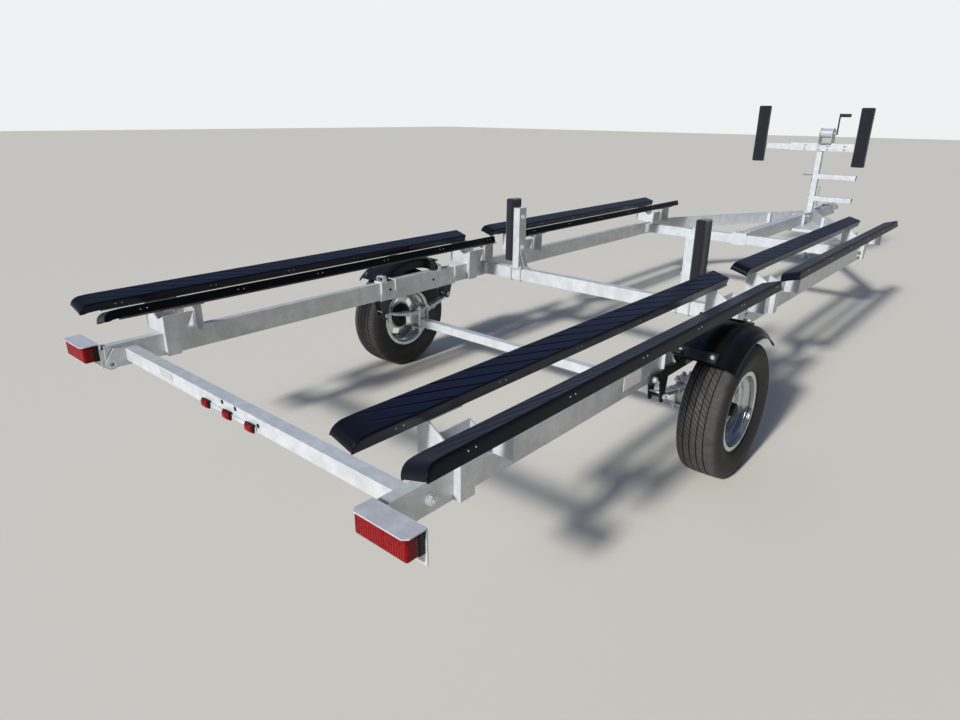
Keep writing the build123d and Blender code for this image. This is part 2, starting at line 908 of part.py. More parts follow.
export_step(fender_brackets.part, "parts/fender_brackets.step")

# Wheels
for side, sign in sides:
    wheel_face = Plane(
        origin=(sign * track_half, at(axle_station), wheel_z), x_dir=(sign, 0, 0), z_dir=(0, -sign, 0)
    )
    axis = Axis((sign * track_half, at(axle_station), wheel_z), (1, 0, 0))
    half_tyre = tyre_width / 2
    tyre_outside = (
        (71.5, rim_radius + 1),
        (71.5, rim_lip_radius + 2),
        (81, 203),
        (half_tyre - 2, 238),
        (half_tyre - 2, 268),
        (86, 300),
        (71, 312),
        (32, tyre_radius),
    )
    tyre_inside = ((58, rim_radius + 1), (80, 230), (80, 287), (61, 300))
    profile = list(tyre_outside)
    profile += [(-x, r) for x, r in reversed(tyre_outside)]
    profile += [(-x, r) for x, r in tyre_inside]
    profile += [(x, r) for x, r in reversed(tyre_inside)]
    with BuildPart() as tyre:
        with BuildSketch(wheel_face):
            with BuildLine():
                Polyline(*profile, close=True)
            make_face()
        revolve(axis=axis)
    tyre.part.label = f"tyre_{side}"
    export_step(tyre.part, f"parts/tyre_{side}.step")

    with BuildPart() as rim:
        with BuildSketch(wheel_face):
            with BuildLine():
                Polyline(
                    (-76, rim_lip_radius),
                    (-72, rim_lip_radius),
                    (-72, rim_radius),
                    (-50, rim_radius),
                    (-36, 150),
                    (24, 150),
                    (50, rim_radius),
                    (72, rim_radius),
                    (72, rim_lip_radius),
                    (76, rim_lip_radius),
                    (76, rim_radius - 4),
                    (52, rim_radius - 4),
                    (26, 146),
                    (12, 112),
                    (4, 84),
                    (4, 34),
                    (-1, 34),
                    (-1, 86),
                    (7, 112),
                    (16, 146),
                    (-38, 146),
                    (-52, rim_radius - 4),
                    (-76, rim_radius - 4),
                    close=True,
                )
            make_face()
        revolve(axis=axis)
        with BuildSketch(Plane.YZ.offset(sign * (track_half - 10))):
            with Locations((at(axle_station), wheel_z)):
                with PolarLocations(stud_circle_radius, 5):
                    Circle(stud_radius + 0.6)
                with PolarLocations(112, 5, start_angle=36):
                    RectangleRounded(42, 64, 12)
        extrude(amount=sign * 40, mode=Mode.SUBTRACT)
    rim.part.label = f"rim_{side}"
    export_step(rim.part, f"parts/rim_{side}.step")

    with BuildPart() as hub:
        with BuildSketch(wheel_face):
            bore = spindle_radius + 0.4
            with BuildLine():
                Polyline(
                    (-80, bore),
                    (-80, 36),
                    (-30, 38),
                    (-10, 76),
                    (-1, 76),
                    (-1, 33.6),
                    (26, 32),
                    (50, 30),
                    (54, 24),
                    (54, 0),
                    (20, 0),
                    (20, bore),
                    close=True,
                )
            make_face()
        revolve(axis=axis)
        with BuildSketch(Plane.YZ.offset(sign * (track_half - 10))):
            with Locations((at(axle_station), wheel_z)):
                with PolarLocations(stud_circle_radius, 5):
                    Circle(stud_radius)
        extrude(amount=sign * 28)
    hub.part.label = f"hub_{side}"
    export_step(hub.part, f"parts/hub_{side}.step")

# Tail lamps, each behind a bent guard
with BuildPart() as guards:
    for sign in (-1, 1):
        with BuildSketch(Plane.XY.offset(guard_top - 4)):
            with BuildLine():
                Polyline(
                    (sign * guard_inner_x, at(guard_front)),
                    (sign * guard_inner_x, at(guard_rear + 14)),
                    (sign * (guard_inner_x + 14), at(guard_rear)),
                    (sign * (guard_outer_x - 14), at(guard_rear)),
                    (sign * guard_outer_x, at(guard_rear + 14)),
                    (sign * guard_outer_x, at(guard_front)),
                    close=True,
                )
            make_face()
        extrude(amount=4)
        block(sign * guard_inner_x, sign * guard_outer_x, guard_front - 4, guard_front, 528, guard_top)
        inside = rail_inner + rail_wall
        block(sign * inside, sign * (inside + 12), guard_front - 4, -1740, 532, 608)
guards.part.label = "lamp_guards"
export_step(guards.part, "parts/lamp_guards.step")

lamp_bottom = 563
lamp_top = 631
with BuildPart() as lamp_bases:
    for sign in (-1, 1):
        block(
            sign * (guard_inner_x + 6),
            sign * (guard_outer_x - 4),
            guard_front - 22,
            guard_front - 4,
            lamp_bottom - 3,
            lamp_top + 1,
        )
    block(-200, 180, rear_cross_station - 6, rear_cross_station, rear_cross_bottom, 568)
lamp_bases.part.label = "lamp_bases"
export_step(lamp_bases.part, "parts/lamp_bases.step")

with BuildPart() as lenses:
    for sign in (-1, 1):
        with BuildSketch(Plane.XY.offset(lamp_bottom)):
            x_mid = (guard_inner_x + guard_outer_x) / 2 - 4
            with Locations((sign * x_mid, at((guard_rear + guard_front) / 2 - 8))):
                RectangleRounded(190, 42, 14)
        extrude(amount=lamp_top - lamp_bottom)
    for x in (-161, -12, 137):
        with BuildSketch(Plane.XZ.offset(-at(rear_cross_station - 6))):
            with Locations((x, 557)):
                RectangleRounded(44, 27, 8)
        extrude(amount=14)
lenses.part.label = "lamp_lenses"
export_step(lenses.part, "parts/lamp_lenses.step")

# Tie-down plates behind the rear crossmember, beside the rails
tie_hole_radius = 10
tie_thickness = 6
tie_x = rail_inner - 0.5 - plate - tie_thickness
tie_station = -1803
tie_z = 543
with BuildPart() as ties:
    for sign in (-1, 1):
        with BuildSketch(Plane.YZ.offset(sign * tie_x)):
            with BuildLine():
                Polyline(
                    (at(rear_cross_station), 552),
                    (at(rear_cross_station), 604),
                    (at(rear_cross_station - 46), 611),
                    (at(tie_station - 23), tie_z + 10),
                    (at(tie_station + 13), tie_z - 21),
                    close=True,
                )
            make_face()
            with Locations((at(tie_station), tie_z)):
                Circle(25)
                Circle(tie_hole_radius, mode=Mode.SUBTRACT)
        extrude(amount=sign * tie_thickness)
ties.part.label = "tie_downs"
export_step(ties.part, "parts/tie_downs.step")

# Guide posts on the middle crossmember, each with a pad on its outer side
guide_inner = 560
guide_outer = 608
guide_top = 1000
with BuildPart() as guides:
    for sign in (-1, 1):
        with BuildSketch(Plane.XY.offset(cross_top)):
            with Locations((sign * (guide_inner + guide_outer) / 2, at(middle_cross_station + 25))):
                Rectangle(guide_outer - guide_inner, 70)
                Rectangle(guide_outer - guide_inner - 6, 64, mode=Mode.SUBTRACT)
        extrude(amount=guide_top - cross_top)
        block(
            sign * (guide_inner - 25),
            sign * (guide_outer + 25),
            middle_cross_station - 14,
            middle_cross_station + 64,
            cross_top,
            cross_top + 6,
        )
guides.part.label = "guide_posts"
export_step(guides.part, "parts/guide_posts.step")

with BuildPart() as guide_pads:
    for sign in (-1, 1):
        with BuildSketch(Plane.XY.offset(655)):
            with Locations((sign * (guide_outer + 28), at(middle_cross_station + 25))):
                RectangleRounded(56, 100, 8)
        extrude(amount=400)
guide_pads.part.label = "guide_pads"
export_step(guide_pads.part, "parts/guide_pads.step")
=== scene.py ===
import json
import math
import bmesh
import bpy
import numpy as np
from mathutils import Matrix, Vector


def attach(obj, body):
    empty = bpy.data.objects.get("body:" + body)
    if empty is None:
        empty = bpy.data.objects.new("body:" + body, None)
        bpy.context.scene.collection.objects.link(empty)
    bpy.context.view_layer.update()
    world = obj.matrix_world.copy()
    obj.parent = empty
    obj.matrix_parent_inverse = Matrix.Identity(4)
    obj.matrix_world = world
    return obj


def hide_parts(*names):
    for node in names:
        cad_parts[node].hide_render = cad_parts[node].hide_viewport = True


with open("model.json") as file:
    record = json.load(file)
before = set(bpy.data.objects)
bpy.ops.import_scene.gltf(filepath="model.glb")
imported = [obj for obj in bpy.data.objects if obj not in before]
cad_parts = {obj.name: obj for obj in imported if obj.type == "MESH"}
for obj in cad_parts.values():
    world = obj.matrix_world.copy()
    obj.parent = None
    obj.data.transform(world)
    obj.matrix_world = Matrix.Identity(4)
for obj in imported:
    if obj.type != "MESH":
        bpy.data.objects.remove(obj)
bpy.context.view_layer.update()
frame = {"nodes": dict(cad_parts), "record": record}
nodes = frame["nodes"]
springY = -2.047  # the frame's Y of the springs' middle; a station is a distance forward of it
sides = (("left", -1), ("right", 1))
print("frame loaded,", len(nodes), "nodes")


# small tools
def linearHex(text):
    # sRGB hex to linear red, green, blue and alpha
    parts = np.array([int(text[i:i + 2], 16) for i in (0, 2, 4)]) / 255
    linear = np.where(parts <= 0.04045, parts / 12.92, ((parts + 0.055) / 1.055) ** 2.4)
    return (*linear.tolist(), 1.0)


def addNode(tree, kind, inputs=None, stops=(), **settings):
    # one node with its settings; an input is a value, or an output socket that gets linked; a colour
    # ramp also gets its stops, each a place and a hex colour
    made = tree.nodes.new(kind)
    for key, value in settings.items():
        setattr(made, key, value)
    for key, value in (inputs or {}).items():
        if isinstance(value, bpy.types.NodeSocket):
            tree.links.new(value, made.inputs[key])
        else:
            made.inputs[key].default_value = value
    if stops:
        row = made.color_ramp.elements
        while len(row) < len(stops):
            row.new(0.5)
        for element, (place, text) in zip(row, stops):
            element.position = place
            element.color = linearHex(text)
    return made


def newMaterial(look):
    # a material whose nodes are laid from Object coordinates by the function that its look names
    made = bpy.data.materials.new(look["name"])
    made.use_nodes = True
    made.node_tree.nodes.clear()
    place = addNode(made.node_tree, "ShaderNodeTexCoord").outputs["Object"]
    look["by"](made.node_tree, place, look)
    return made


def dress(tree, look, pattern, height=None, colour=None):
    # one Principled shader: the pattern runs through the tones to the colour, unless one is given, and
    # from the first roughness to the second; the height, or else the pattern, is raised by the relief's
    # strength and distance; what is the same all over sits on the shader's own sockets
    inputs = dict(look["fixed"])
    if colour is None:
        colour = addNode(tree, "ShaderNodeValToRGB", {"Fac": pattern}, look["tones"]).outputs["Color"]
    inputs["Base Color"] = colour
    if "roughness" in look:
        low, high = look["roughness"]
        inputs["Roughness"] = addNode(tree, "ShaderNodeMapRange", {
            "Value": pattern, "To Min": low, "To Max": high}).outputs["Result"]
    if "relief" in look:
        strength, distance = look["relief"]
        inputs["Normal"] = addNode(tree, "ShaderNodeBump", {
            "Height": pattern if height is None else height,
            "Strength": strength, "Distance": distance}).outputs["Normal"]
    shader = addNode(tree, "ShaderNodeBsdfPrincipled", inputs)
    addNode(tree, "ShaderNodeOutputMaterial", {"Surface": shader.outputs["BSDF"]})
    return shader


def makePiece(name, shapes, finish, body="root", smooth=40, standsFor=None):
    # closed shapes as one mesh at the origin, with its place in its vertices; vertices that no face
    # uses are left out
    verts, faces = joined(shapes)
    used, index = np.unique(np.concatenate(faces), return_inverse=True)
    ends = np.cumsum([len(face) for face in faces])[:-1]
    data = bpy.data.meshes.new(name)
    data.from_pydata(verts[used].tolist(), [], [face.tolist() for face in np.split(index.ravel(), ends)])
    data.validate()
    data.materials.append(finishes[finish])
    piece = bpy.data.objects.new(name, data)
    bpy.context.scene.collection.objects.link(piece)
    sharpen(data, smooth)
    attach(piece, body)
    if standsFor:
        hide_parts(standsFor)
    return piece


def sharpen(data, degrees):
    # smooth faces, with the edges left sharp where faces meet at more than the angle
    data.polygons.foreach_set("use_smooth", np.ones(len(data.polygons), bool))
    work = bmesh.new()
    work.from_mesh(data)
    limit = math.radians(degrees)
    for edge in work.edges:
        edge.smooth = len(edge.link_faces) == 2 and edge.calc_face_angle(0.0) < limit
    work.to_mesh(data)
    work.free()


def gridFaces(rows, columns, closeRows=False, closeColumns=False, start=0):
    # quads over a grid of points, row by row; a closed direction joins its end to its start
    i = np.arange(rows if closeRows else rows - 1)
    j = np.arange(columns if closeColumns else columns - 1)
    a, b = np.meshgrid(i, j, indexing="ij")
    a2, b2 = (a + 1) % rows, (b + 1) % columns
    quads = np.stack([a * columns + b, a * columns + b2, a2 * columns + b2, a2 * columns + b], -1)
    return start + quads.reshape(-1, 4)


def walled(outer, inner, keep=None, closeRows=False, closeColumns=False):
    # two grids of one size as a closed wall: their kept cells, and a strip along each free edge
    rows, columns = outer.shape[:2]
    count = rows * columns
    quads = gridFaces(rows, columns, closeRows, closeColumns)
    if keep is not None:
        quads = quads[keep.ravel()]
    start, end = quads.ravel(), np.roll(quads, -1, axis=1).ravel()
    free = ~np.isin(start * count + end, end * count + start)
    a, b = start[free], end[free]
    faces = [quads, quads[:, ::-1] + count, np.stack([b, a, a + count, b + count], -1)]
    return np.concatenate([outer.reshape(-1, 3), inner.reshape(-1, 3)]), np.concatenate(faces)


def outward(verts, faces):
    # turns all faces round if the closed shape's volume, summed over fans of triangles, is negative
    v = np.asarray(verts)
    f = np.array([(g[0], b, c) for g in faces for b, c in zip(g[1:], g[2:])])
    volume = np.einsum("ij,ij->i", v[f[:, 0]], np.cross(v[f[:, 1]], v[f[:, 2]])).sum()
    return [list(g)[::-1] for g in faces] if volume < 0 else [list(g) for g in faces]


def joined(parts):
    # several closed (vertices, faces) shapes as one, each with its faces outward
    verts, faces, start = [], [], 0
    for points, polygons in parts:
        verts.append(np.asarray(points, float))
        faces += [[int(k) + start for k in f] for f in outward(points, polygons)]
        start += len(points)
    return np.concatenate(verts), faces


def turned(profile, steps):
    # a closed profile of (along, radius) turned about the X axis: y = r cos, z = r sin
    angle = np.linspace(0, 2 * np.pi, steps, endpoint=False)[:, None]
    reach, radius = np.asarray(profile, float).T
    points = np.stack([np.broadcast_to(reach, (steps, len(reach))), radius * np.cos(angle),
                       radius * np.sin(angle)], -1)
    return points.reshape(-1, 3), gridFaces(steps, len(reach), True, True)


def axesFor(direction, spin=0.0):
    # three axes, the last along the direction, the first two turned about it by spin
    w = np.asarray(direction, float) / np.linalg.norm(direction)
    helper = np.array([0, 0, 1.0]) if abs(w[2]) < 0.9 else np.array([0, 1.0, 0])
    u = np.cross(helper, w)
    u /= np.linalg.norm(u)
    v = np.cross(w, u)
    return np.stack([math.cos(spin) * u + math.sin(spin) * v,
                     -math.sin(spin) * u + math.cos(spin) * v, w])


def stacked(rings, sides):
    # rings of points one above the other, closed by a face at each end
    verts = np.concatenate(rings)
    faces = gridFaces(len(rings), sides, closeColumns=True).tolist()
    faces.append(list(range(sides))[::-1])
    faces.append(list(range((len(rings) - 1) * sides, len(rings) * sides)))
    return verts, faces


def ring(radius, height, sides=12, hexagon=False):
    # a ring of points; a hexagon's sides pull in between its corners
    angle = np.arange(sides) * 2 * np.pi / sides
    r = np.full(sides, float(radius))
    if hexagon:
        r[1::2] *= math.cos(math.pi / 6)
    return np.stack([r * np.cos(angle), r * np.sin(angle), np.full(sides, float(height))], -1)


def hexHead(size, stub):
    # a hexagon head or nut of that size across its corners, on a washer, with a thread stub on top
    r = size / 2
    base = 0.12 * size
    top = base + 0.42 * size
    washer = stacked([ring(r * 1.22, 0), ring(r * 1.22, base * 0.8), ring(r * 1.12, base)], 12)
    nut = stacked([ring(r, base, hexagon=True), ring(r, top - 0.05 * size, hexagon=True),
                   ring(r * 0.8, top)], 12)
    thread = stacked([ring(r * 0.48, top - 0.001), ring(r * 0.48, top + stub * 0.8),
                      ring(r * 0.38, top + stub)], 12)
    return joined([washer, nut, thread])


def scattered(shape, places):
    # copies of one shape at (point, direction, spin)
    verts, faces = np.asarray(shape[0]), shape[1]
    made = [verts @ axesFor(w, spin) + np.asarray(p) for p, w, spin in places]
    polygons = [[k + i * len(verts) for k in f] for i in range(len(made)) for f in faces]
    return np.concatenate(made), polygons


def rounded(points, radius, steps=6):
    # a path with each corner c rounded: (1-t)^2 a + 2 t (1-t) c + t^2 b between points a and b beside it
    points = np.asarray(points, float)
    t = np.linspace(0, 1, steps)[:, None]
    path = [points[:1]]
    for before, corner, after in zip(points, points[1:], points[2:]):
        a = corner + (before - corner) / np.linalg.norm(before - corner) * radius
        b = corner + (after - corner) / np.linalg.norm(after - corner) * radius
        path.append((1 - t) ** 2 * a + 2 * t * (1 - t) * corner + t ** 2 * b)
    return np.concatenate(path + [points[-1:]])


def along(path):
    # unit direction at each point of a path
    step = np.gradient(path, axis=0)
    return step / np.linalg.norm(step, axis=1)[:, None]


def strip(path, across, thickness):
    # a bent plate: the path swept by the vector across, thickened to one side
    path, across = np.asarray(path, float), np.asarray(across, float)
    normal = np.cross(along(path), across / np.linalg.norm(across))
    rows = path[:, None] + np.array([-0.5, 0.5])[None, :, None] * across
    return walled(rows, rows - normal[:, None] * thickness)


def rod(path, radius, normal, sides=10):
    # a round rod along a path that lies in the plane of that normal
    path, u = np.asarray(path, float), np.asarray(normal, float)
    v = np.cross(along(path), u)
    angle = np.arange(sides) * 2 * np.pi / sides
    circle = radius * (np.cos(angle)[None, :, None] * u + np.sin(angle)[None, :, None] * v[:, None])
    return stacked(list(path[:, None] + circle), sides)


def roundedBox(half, corner, counts):
    # a closed box whose edges are rounded: each point is moved to its distance from the inner box
    half = np.asarray(half, float)
    arc = corner * np.tan(np.linspace(0, np.pi / 4, 5)[1:])
    lines = []
    for h, n in zip(half, counts):
        inner = h - corner
        lines.append(np.concatenate([-inner - arc[::-1], np.linspace(-inner, inner, n + 1), inner + arc]))
    grids, faces, start = [], [], 0
    for axis in range(3):
        b, c = (axis + 1) % 3, (axis + 2) % 3
        for end in (-1, 1):
            grid = np.zeros((len(lines[b]), len(lines[c]), 3))
            grid[..., axis] = end * half[axis]
            grid[..., b] = lines[b][:, None]
            grid[..., c] = lines[c][None, :]
            quads = gridFaces(len(lines[b]), len(lines[c]), start=start)
            faces.append(quads if end < 0 else quads[:, ::-1])
            grids.append(grid.reshape(-1, 3))
            start += len(grids[-1])
    points = np.concatenate(grids)
    _, first, index = np.unique(np.round(points, 7), axis=0, return_index=True, return_inverse=True)
    points = points[first]
    inside = np.clip(points, corner - half, half - corner)
    outside = points - inside
    points = inside + corner * outside / np.linalg.norm(outside, axis=1)[:, None]
    return points, index.ravel()[np.concatenate(faces)]


def at(x, station, z):
    # a point in metres from a station
    return np.array([x, springY + station, z])


def moved(shape, place):
    # a shape with its points shifted by a place
    return shape[0] + place, shape[1]


# camera: solved from the photograph
camera = {
    "place": (2.0432, -4.8053, 1.56),
    "yaw": 40.9258,     # left of straight ahead
    "pitch": 20.4818,   # down
    "roll": -0.56034,
    "lens": 24.707,
}
yaw, pitch, roll = (math.radians(camera[k]) for k in ("yaw", "pitch", "roll"))
forward = Vector((-math.sin(yaw) * math.cos(pitch), math.cos(yaw) * math.cos(pitch), -math.sin(pitch)))
level = Vector((math.cos(yaw), math.sin(yaw), 0))
downward = forward.cross(level)
rightAxis = math.cos(roll) * level + math.sin(roll) * downward
downAxis = -math.sin(roll) * level + math.cos(roll) * downward
lensData = bpy.data.cameras.new("camera")
lensData.lens = camera["lens"]
lensData.sensor_width = 36
lensData.clip_end = 200
cameraObject = bpy.data.objects.new("camera", lensData)
bpy.context.scene.collection.objects.link(cameraObject)
turn = Matrix((rightAxis, -downAxis, -forward)).transposed()
cameraObject.matrix_world = Matrix.Translation(Vector(camera["place"])) @ turn.to_4x4()
bpy.context.scene.camera = cameraObject

# light: a soft low sun from behind the trailer, with a weaker and wider one for the glints, and a pale sky
light = {
    "sunTravel": (-0.06, 1.0, -0.55),
    "suns": (("sun", 4.5, 5, False), ("glint", 1.1, 14, True)),  # name, strength, degrees wide, seen in gloss
    "skyTones": ((0.0, "b8b6ae"), (0.13, "c0cee8"), (1.0, "9ab6ea")),  # horizon to zenith
    "skyStrength": 0.52,
    "rightShare": 0.18,  # of the sky's strength, on the right
    "backHex": "f0f1f2",
    "floorHex": "c9c4b8",
    "floorHalf": 60,
}
for name, strength, width, glossy in light["suns"]:
    sunData = bpy.data.lights.new(name, "SUN")
    sunData.energy = strength
    sunData.angle = math.radians(width)
    sunObject = bpy.data.objects.new(name, sunData)
    sunObject.rotation_mode = "QUATERNION"
    sunObject.rotation_quaternion = Vector(light["sunTravel"]).to_track_quat("-Z", "Y")
    sunObject.visible_glossy = glossy
    bpy.context.scene.collection.objects.link(sunObject)
world = bpy.data.worlds.new("studio")
bpy.context.scene.world = world
world.use_nodes = True
sky = world.node_tree
sky.nodes.clear()
ray = addNode(sky, "ShaderNodeLightPath").outputs
seen = addNode(sky, "ShaderNodeMath", {0: ray["Is Camera Ray"], 1: ray["Is Transmission Ray"]},
               operation="MAXIMUM")
direction = addNode(sky, "ShaderNodeTexCoord").outputs["Generated"]
heading = addNode(sky, "ShaderNodeSeparateXYZ", {0: direction}).outputs
tone = addNode(sky, "ShaderNodeValToRGB", {"Fac": heading["Z"]}, light["skyTones"])
plain = addNode(sky, "ShaderNodeBackground", {"Color": linearHex(light["backHex"]), "Strength": 1.0})
# the sky is dimmer on the right, so that the faces on that side stay grey
share = addNode(sky, "ShaderNodeMapRange", {
    "Value": heading["X"], "From Min": -0.5, "From Max": 0.7,
    "To Min": light["skyStrength"], "To Max": light["skyStrength"] * light["rightShare"]})
shade = addNode(sky, "ShaderNodeBackground", {"Color": tone.outputs["Color"],
                                              "Strength": share.outputs["Result"]})
mixed = addNode(sky, "ShaderNodeMixShader", {0: seen.outputs[0], 1: shade.outputs[0], 2: plain.outputs[0]})
addNode(sky, "ShaderNodeOutputWorld", {"Surface": mixed.outputs[0]})


def paleFloor(tree, place, look):
    # plain pale floor, the same colour all over
    dress(tree, look, None, colour=linearHex(light["floorHex"]))


reach = light["floorHalf"]
floorData = bpy.data.meshes.new("floor")
floorData.from_pydata([(-reach, -reach, 0), (reach, -reach, 0), (reach, reach, 0), (-reach, reach, 0)],
                      [], [(0, 1, 2, 3)])
floorData.materials.append(newMaterial({"name": "paleFloor", "by": paleFloor, "fixed": {"Roughness": 0.9}}))
floor = bpy.data.objects.new("floor", floorData)
bpy.context.scene.collection.objects.link(floor)
bpy.context.scene.view_settings.view_transform = "Standard"
print("camera and light set")


# finishes: the functions that lay the nodes, then a look for each slot
def patterned(tree, place, look):
    # noise, stretched where the surface has a direction, is the pattern; a finer noise, where the look
    # has a grain, is the height
    if "stretch" in look:
        place = addNode(tree, "ShaderNodeMapping", {"Vector": place, "Scale": look["stretch"]}).outputs[0]
    pattern = addNode(tree, "ShaderNodeTexNoise", {"Vector": place, **look["noise"]}).outputs["Fac"]
    height = None
    if "grain" in look:
        height = addNode(tree, "ShaderNodeTexNoise", {"Vector": place, **look["grain"]}).outputs["Fac"]
    return dress(tree, look, pattern, height)


def dippedZinc(tree, place, look):
    # pattern = cloud + cellShare * spangle cell's tone + runShare * runs; a fine grain is the height
    cloud = addNode(tree, "ShaderNodeTexNoise", {"Vector": place, **look["noise"]}).outputs["Fac"]
    cells = addNode(tree, "ShaderNodeTexVoronoi", {"Vector": place, "Scale": 1 / look["spangle"]})
    cellTone = addNode(tree, "ShaderNodeSeparateColor", {0: cells.outputs["Color"]}).outputs[0]
    streaky = addNode(tree, "ShaderNodeMapping", {"Vector": place, "Scale": look["runStretch"]}).outputs[0]
    runs = addNode(tree, "ShaderNodeTexNoise", {"Vector": streaky, **look["runs"]}).outputs["Fac"]
    pattern = cloud
    for layer, share in ((cellTone, look["cellShare"]), (runs, look["runShare"])):
        pattern = addNode(tree, "ShaderNodeMath", {0: layer, 1: share, 2: pattern},
                          operation="MULTIPLY_ADD").outputs[0]
    grain = addNode(tree, "ShaderNodeTexNoise", {"Vector": place, **look["grain"]}).outputs["Fac"]
    dress(tree, look, pattern, grain)


def rolledZinc(tree, place, look):
    # a mist of noise is the pattern, and bands across the axle's direction are the height
    mist = addNode(tree, "ShaderNodeTexNoise", {"Vector": place, **look["noise"]}).outputs["Fac"]
    rings = addNode(tree, "ShaderNodeTexWave", {"Vector": place, "Scale": look["rings"]}, bands_direction="X")
    dress(tree, look, mist, rings.outputs["Fac"])


def curedRubber(tree, place, look):
    # dust is the pattern; the mesh's tread attribute goes from the side's colour to the road's
    dust = addNode(tree, "ShaderNodeTexNoise", {"Vector": place, **look["noise"]}).outputs["Fac"]
    side, road = (addNode(tree, "ShaderNodeValToRGB", {"Fac": dust}, look[name]).outputs["Color"]
                  for name in ("sideTones", "roadTones"))
    tread = addNode(tree, "ShaderNodeAttribute", attribute_name="tread").outputs["Fac"]
    tone = addNode(tree, "ShaderNodeMix", {0: tread, 6: side, 7: road}, data_type="RGBA").outputs[2]
    grain = addNode(tree, "ShaderNodeTexNoise", {"Vector": place, **look["grain"]}).outputs["Fac"]
    dress(tree, look, dust, grain, tone)


def litCells(tree, place, look):
    # the distance from the middle of small cells is the pattern and the height
    cells = addNode(tree, "ShaderNodeTexVoronoi", {"Vector": place, "Scale": 1 / look["cell"]})
    dress(tree, look, cells.outputs["Distance"])


def groovedPlastic(tree, place, look):
    # moulded plastic with slanted grooves in its tops: a point's distance, in pitches, from the nearest
    # groove is that of (run + across / slope) / pitch from a whole number, and the groove's depth falls
    # from 1 to 0 between the flanks; run, across and the share on top are the mesh's own attributes
    shader = patterned(tree, place, look)
    groove = look["groove"]
    across, run, top = (addNode(tree, "ShaderNodeAttribute", attribute_name=name).outputs["Fac"]
                        for name in ("across", "run", "top"))
    slanted = addNode(tree, "ShaderNodeMath", {0: across, 1: 1 / groove["slope"], 2: run},
                      operation="MULTIPLY_ADD").outputs[0]
    turns = addNode(tree, "ShaderNodeMath", {0: slanted, 1: groove["pitch"]}, operation="DIVIDE").outputs[0]
    away = addNode(tree, "ShaderNodeMath", {0: turns, 1: 0.5}, operation="PINGPONG").outputs[0]
    low, high = groove["flank"]
    depth = addNode(tree, "ShaderNodeMapRange", {"Value": away, "From Min": low, "From Max": high,
                                                 "To Min": 1.0, "To Max": 0.0},
                    interpolation_type="SMOOTHSTEP").outputs["Result"]
    cut = addNode(tree, "ShaderNodeMath", {0: depth, 1: top}, operation="MULTIPLY").outputs[0]
    # the navy tint laid over the tops is a painted reflection of a blue sky
    share = addNode(tree, "ShaderNodeMath", {0: top, 1: groove["topShare"]}, operation="MULTIPLY").outputs[0]
    tone = shader.inputs["Base Color"].links[0].from_socket
    # first the painted sky reflection goes on the tops, then a near-black colour goes in the grooves as
    # painted shade
    for amount, text in ((share, groove["topHex"]), (cut, groove["cutHex"])):
        tone = addNode(tree, "ShaderNodeMix", {0: amount, 6: tone, 7: linearHex(text)},
                       data_type="RGBA").outputs[2]
    tree.links.new(tone, shader.inputs["Base Color"])
    dim = addNode(tree, "ShaderNodeMapRange", {"Value": cut, "To Min": groove["gloss"][0],
                                               "To Max": groove["gloss"][1]}).outputs["Result"]
    tree.links.new(dim, shader.inputs["Specular IOR Level"])
    grain = shader.inputs["Normal"].links[0].from_socket
    sunk = addNode(tree, "ShaderNodeBump", {"Height": cut, "Strength": 1.0, "Distance": groove["depth"],
                                            "Normal": grain}, invert=True)
    tree.links.new(sunk.outputs["Normal"], shader.inputs["Normal"])


def mouldedLook(name, tints, roughness, grainSize, depth, sheen):
    # injection-moulded black plastic: even colour, a fine grain, and dust that dulls it in patches; the
    # reflection is tinted towards the sheen colour, a pale blue that paints in the reflection of a blue sky
    return {
        "name": name,
        "by": patterned,
        "fixed": {"IOR": 1.49, "Specular IOR Level": 0.38, "Specular Tint": linearHex(sheen)},
        "noise": {"Scale": 1 / 0.14, "Detail": 5.0, "Roughness": 0.6},
        "tones": ((0.35, tints[0]), (0.75, tints[1])),
        "roughness": roughness,
        "grain": {"Scale": 1 / grainSize, "Detail": 2.0},
        "relief": (0.25, depth),
    }


def labelLook(name, tints):
    # a bare film with no print on it, a little dusty
    return {
        "name": name,
        "by": patterned,
        "fixed": {"IOR": 1.46},
        "noise": {"Scale": 1 / 0.012, "Detail": 4.0},
        "tones": ((0.3, tints[0]), (0.7, tints[1])),
        "roughness": (0.35, 0.50),
    }


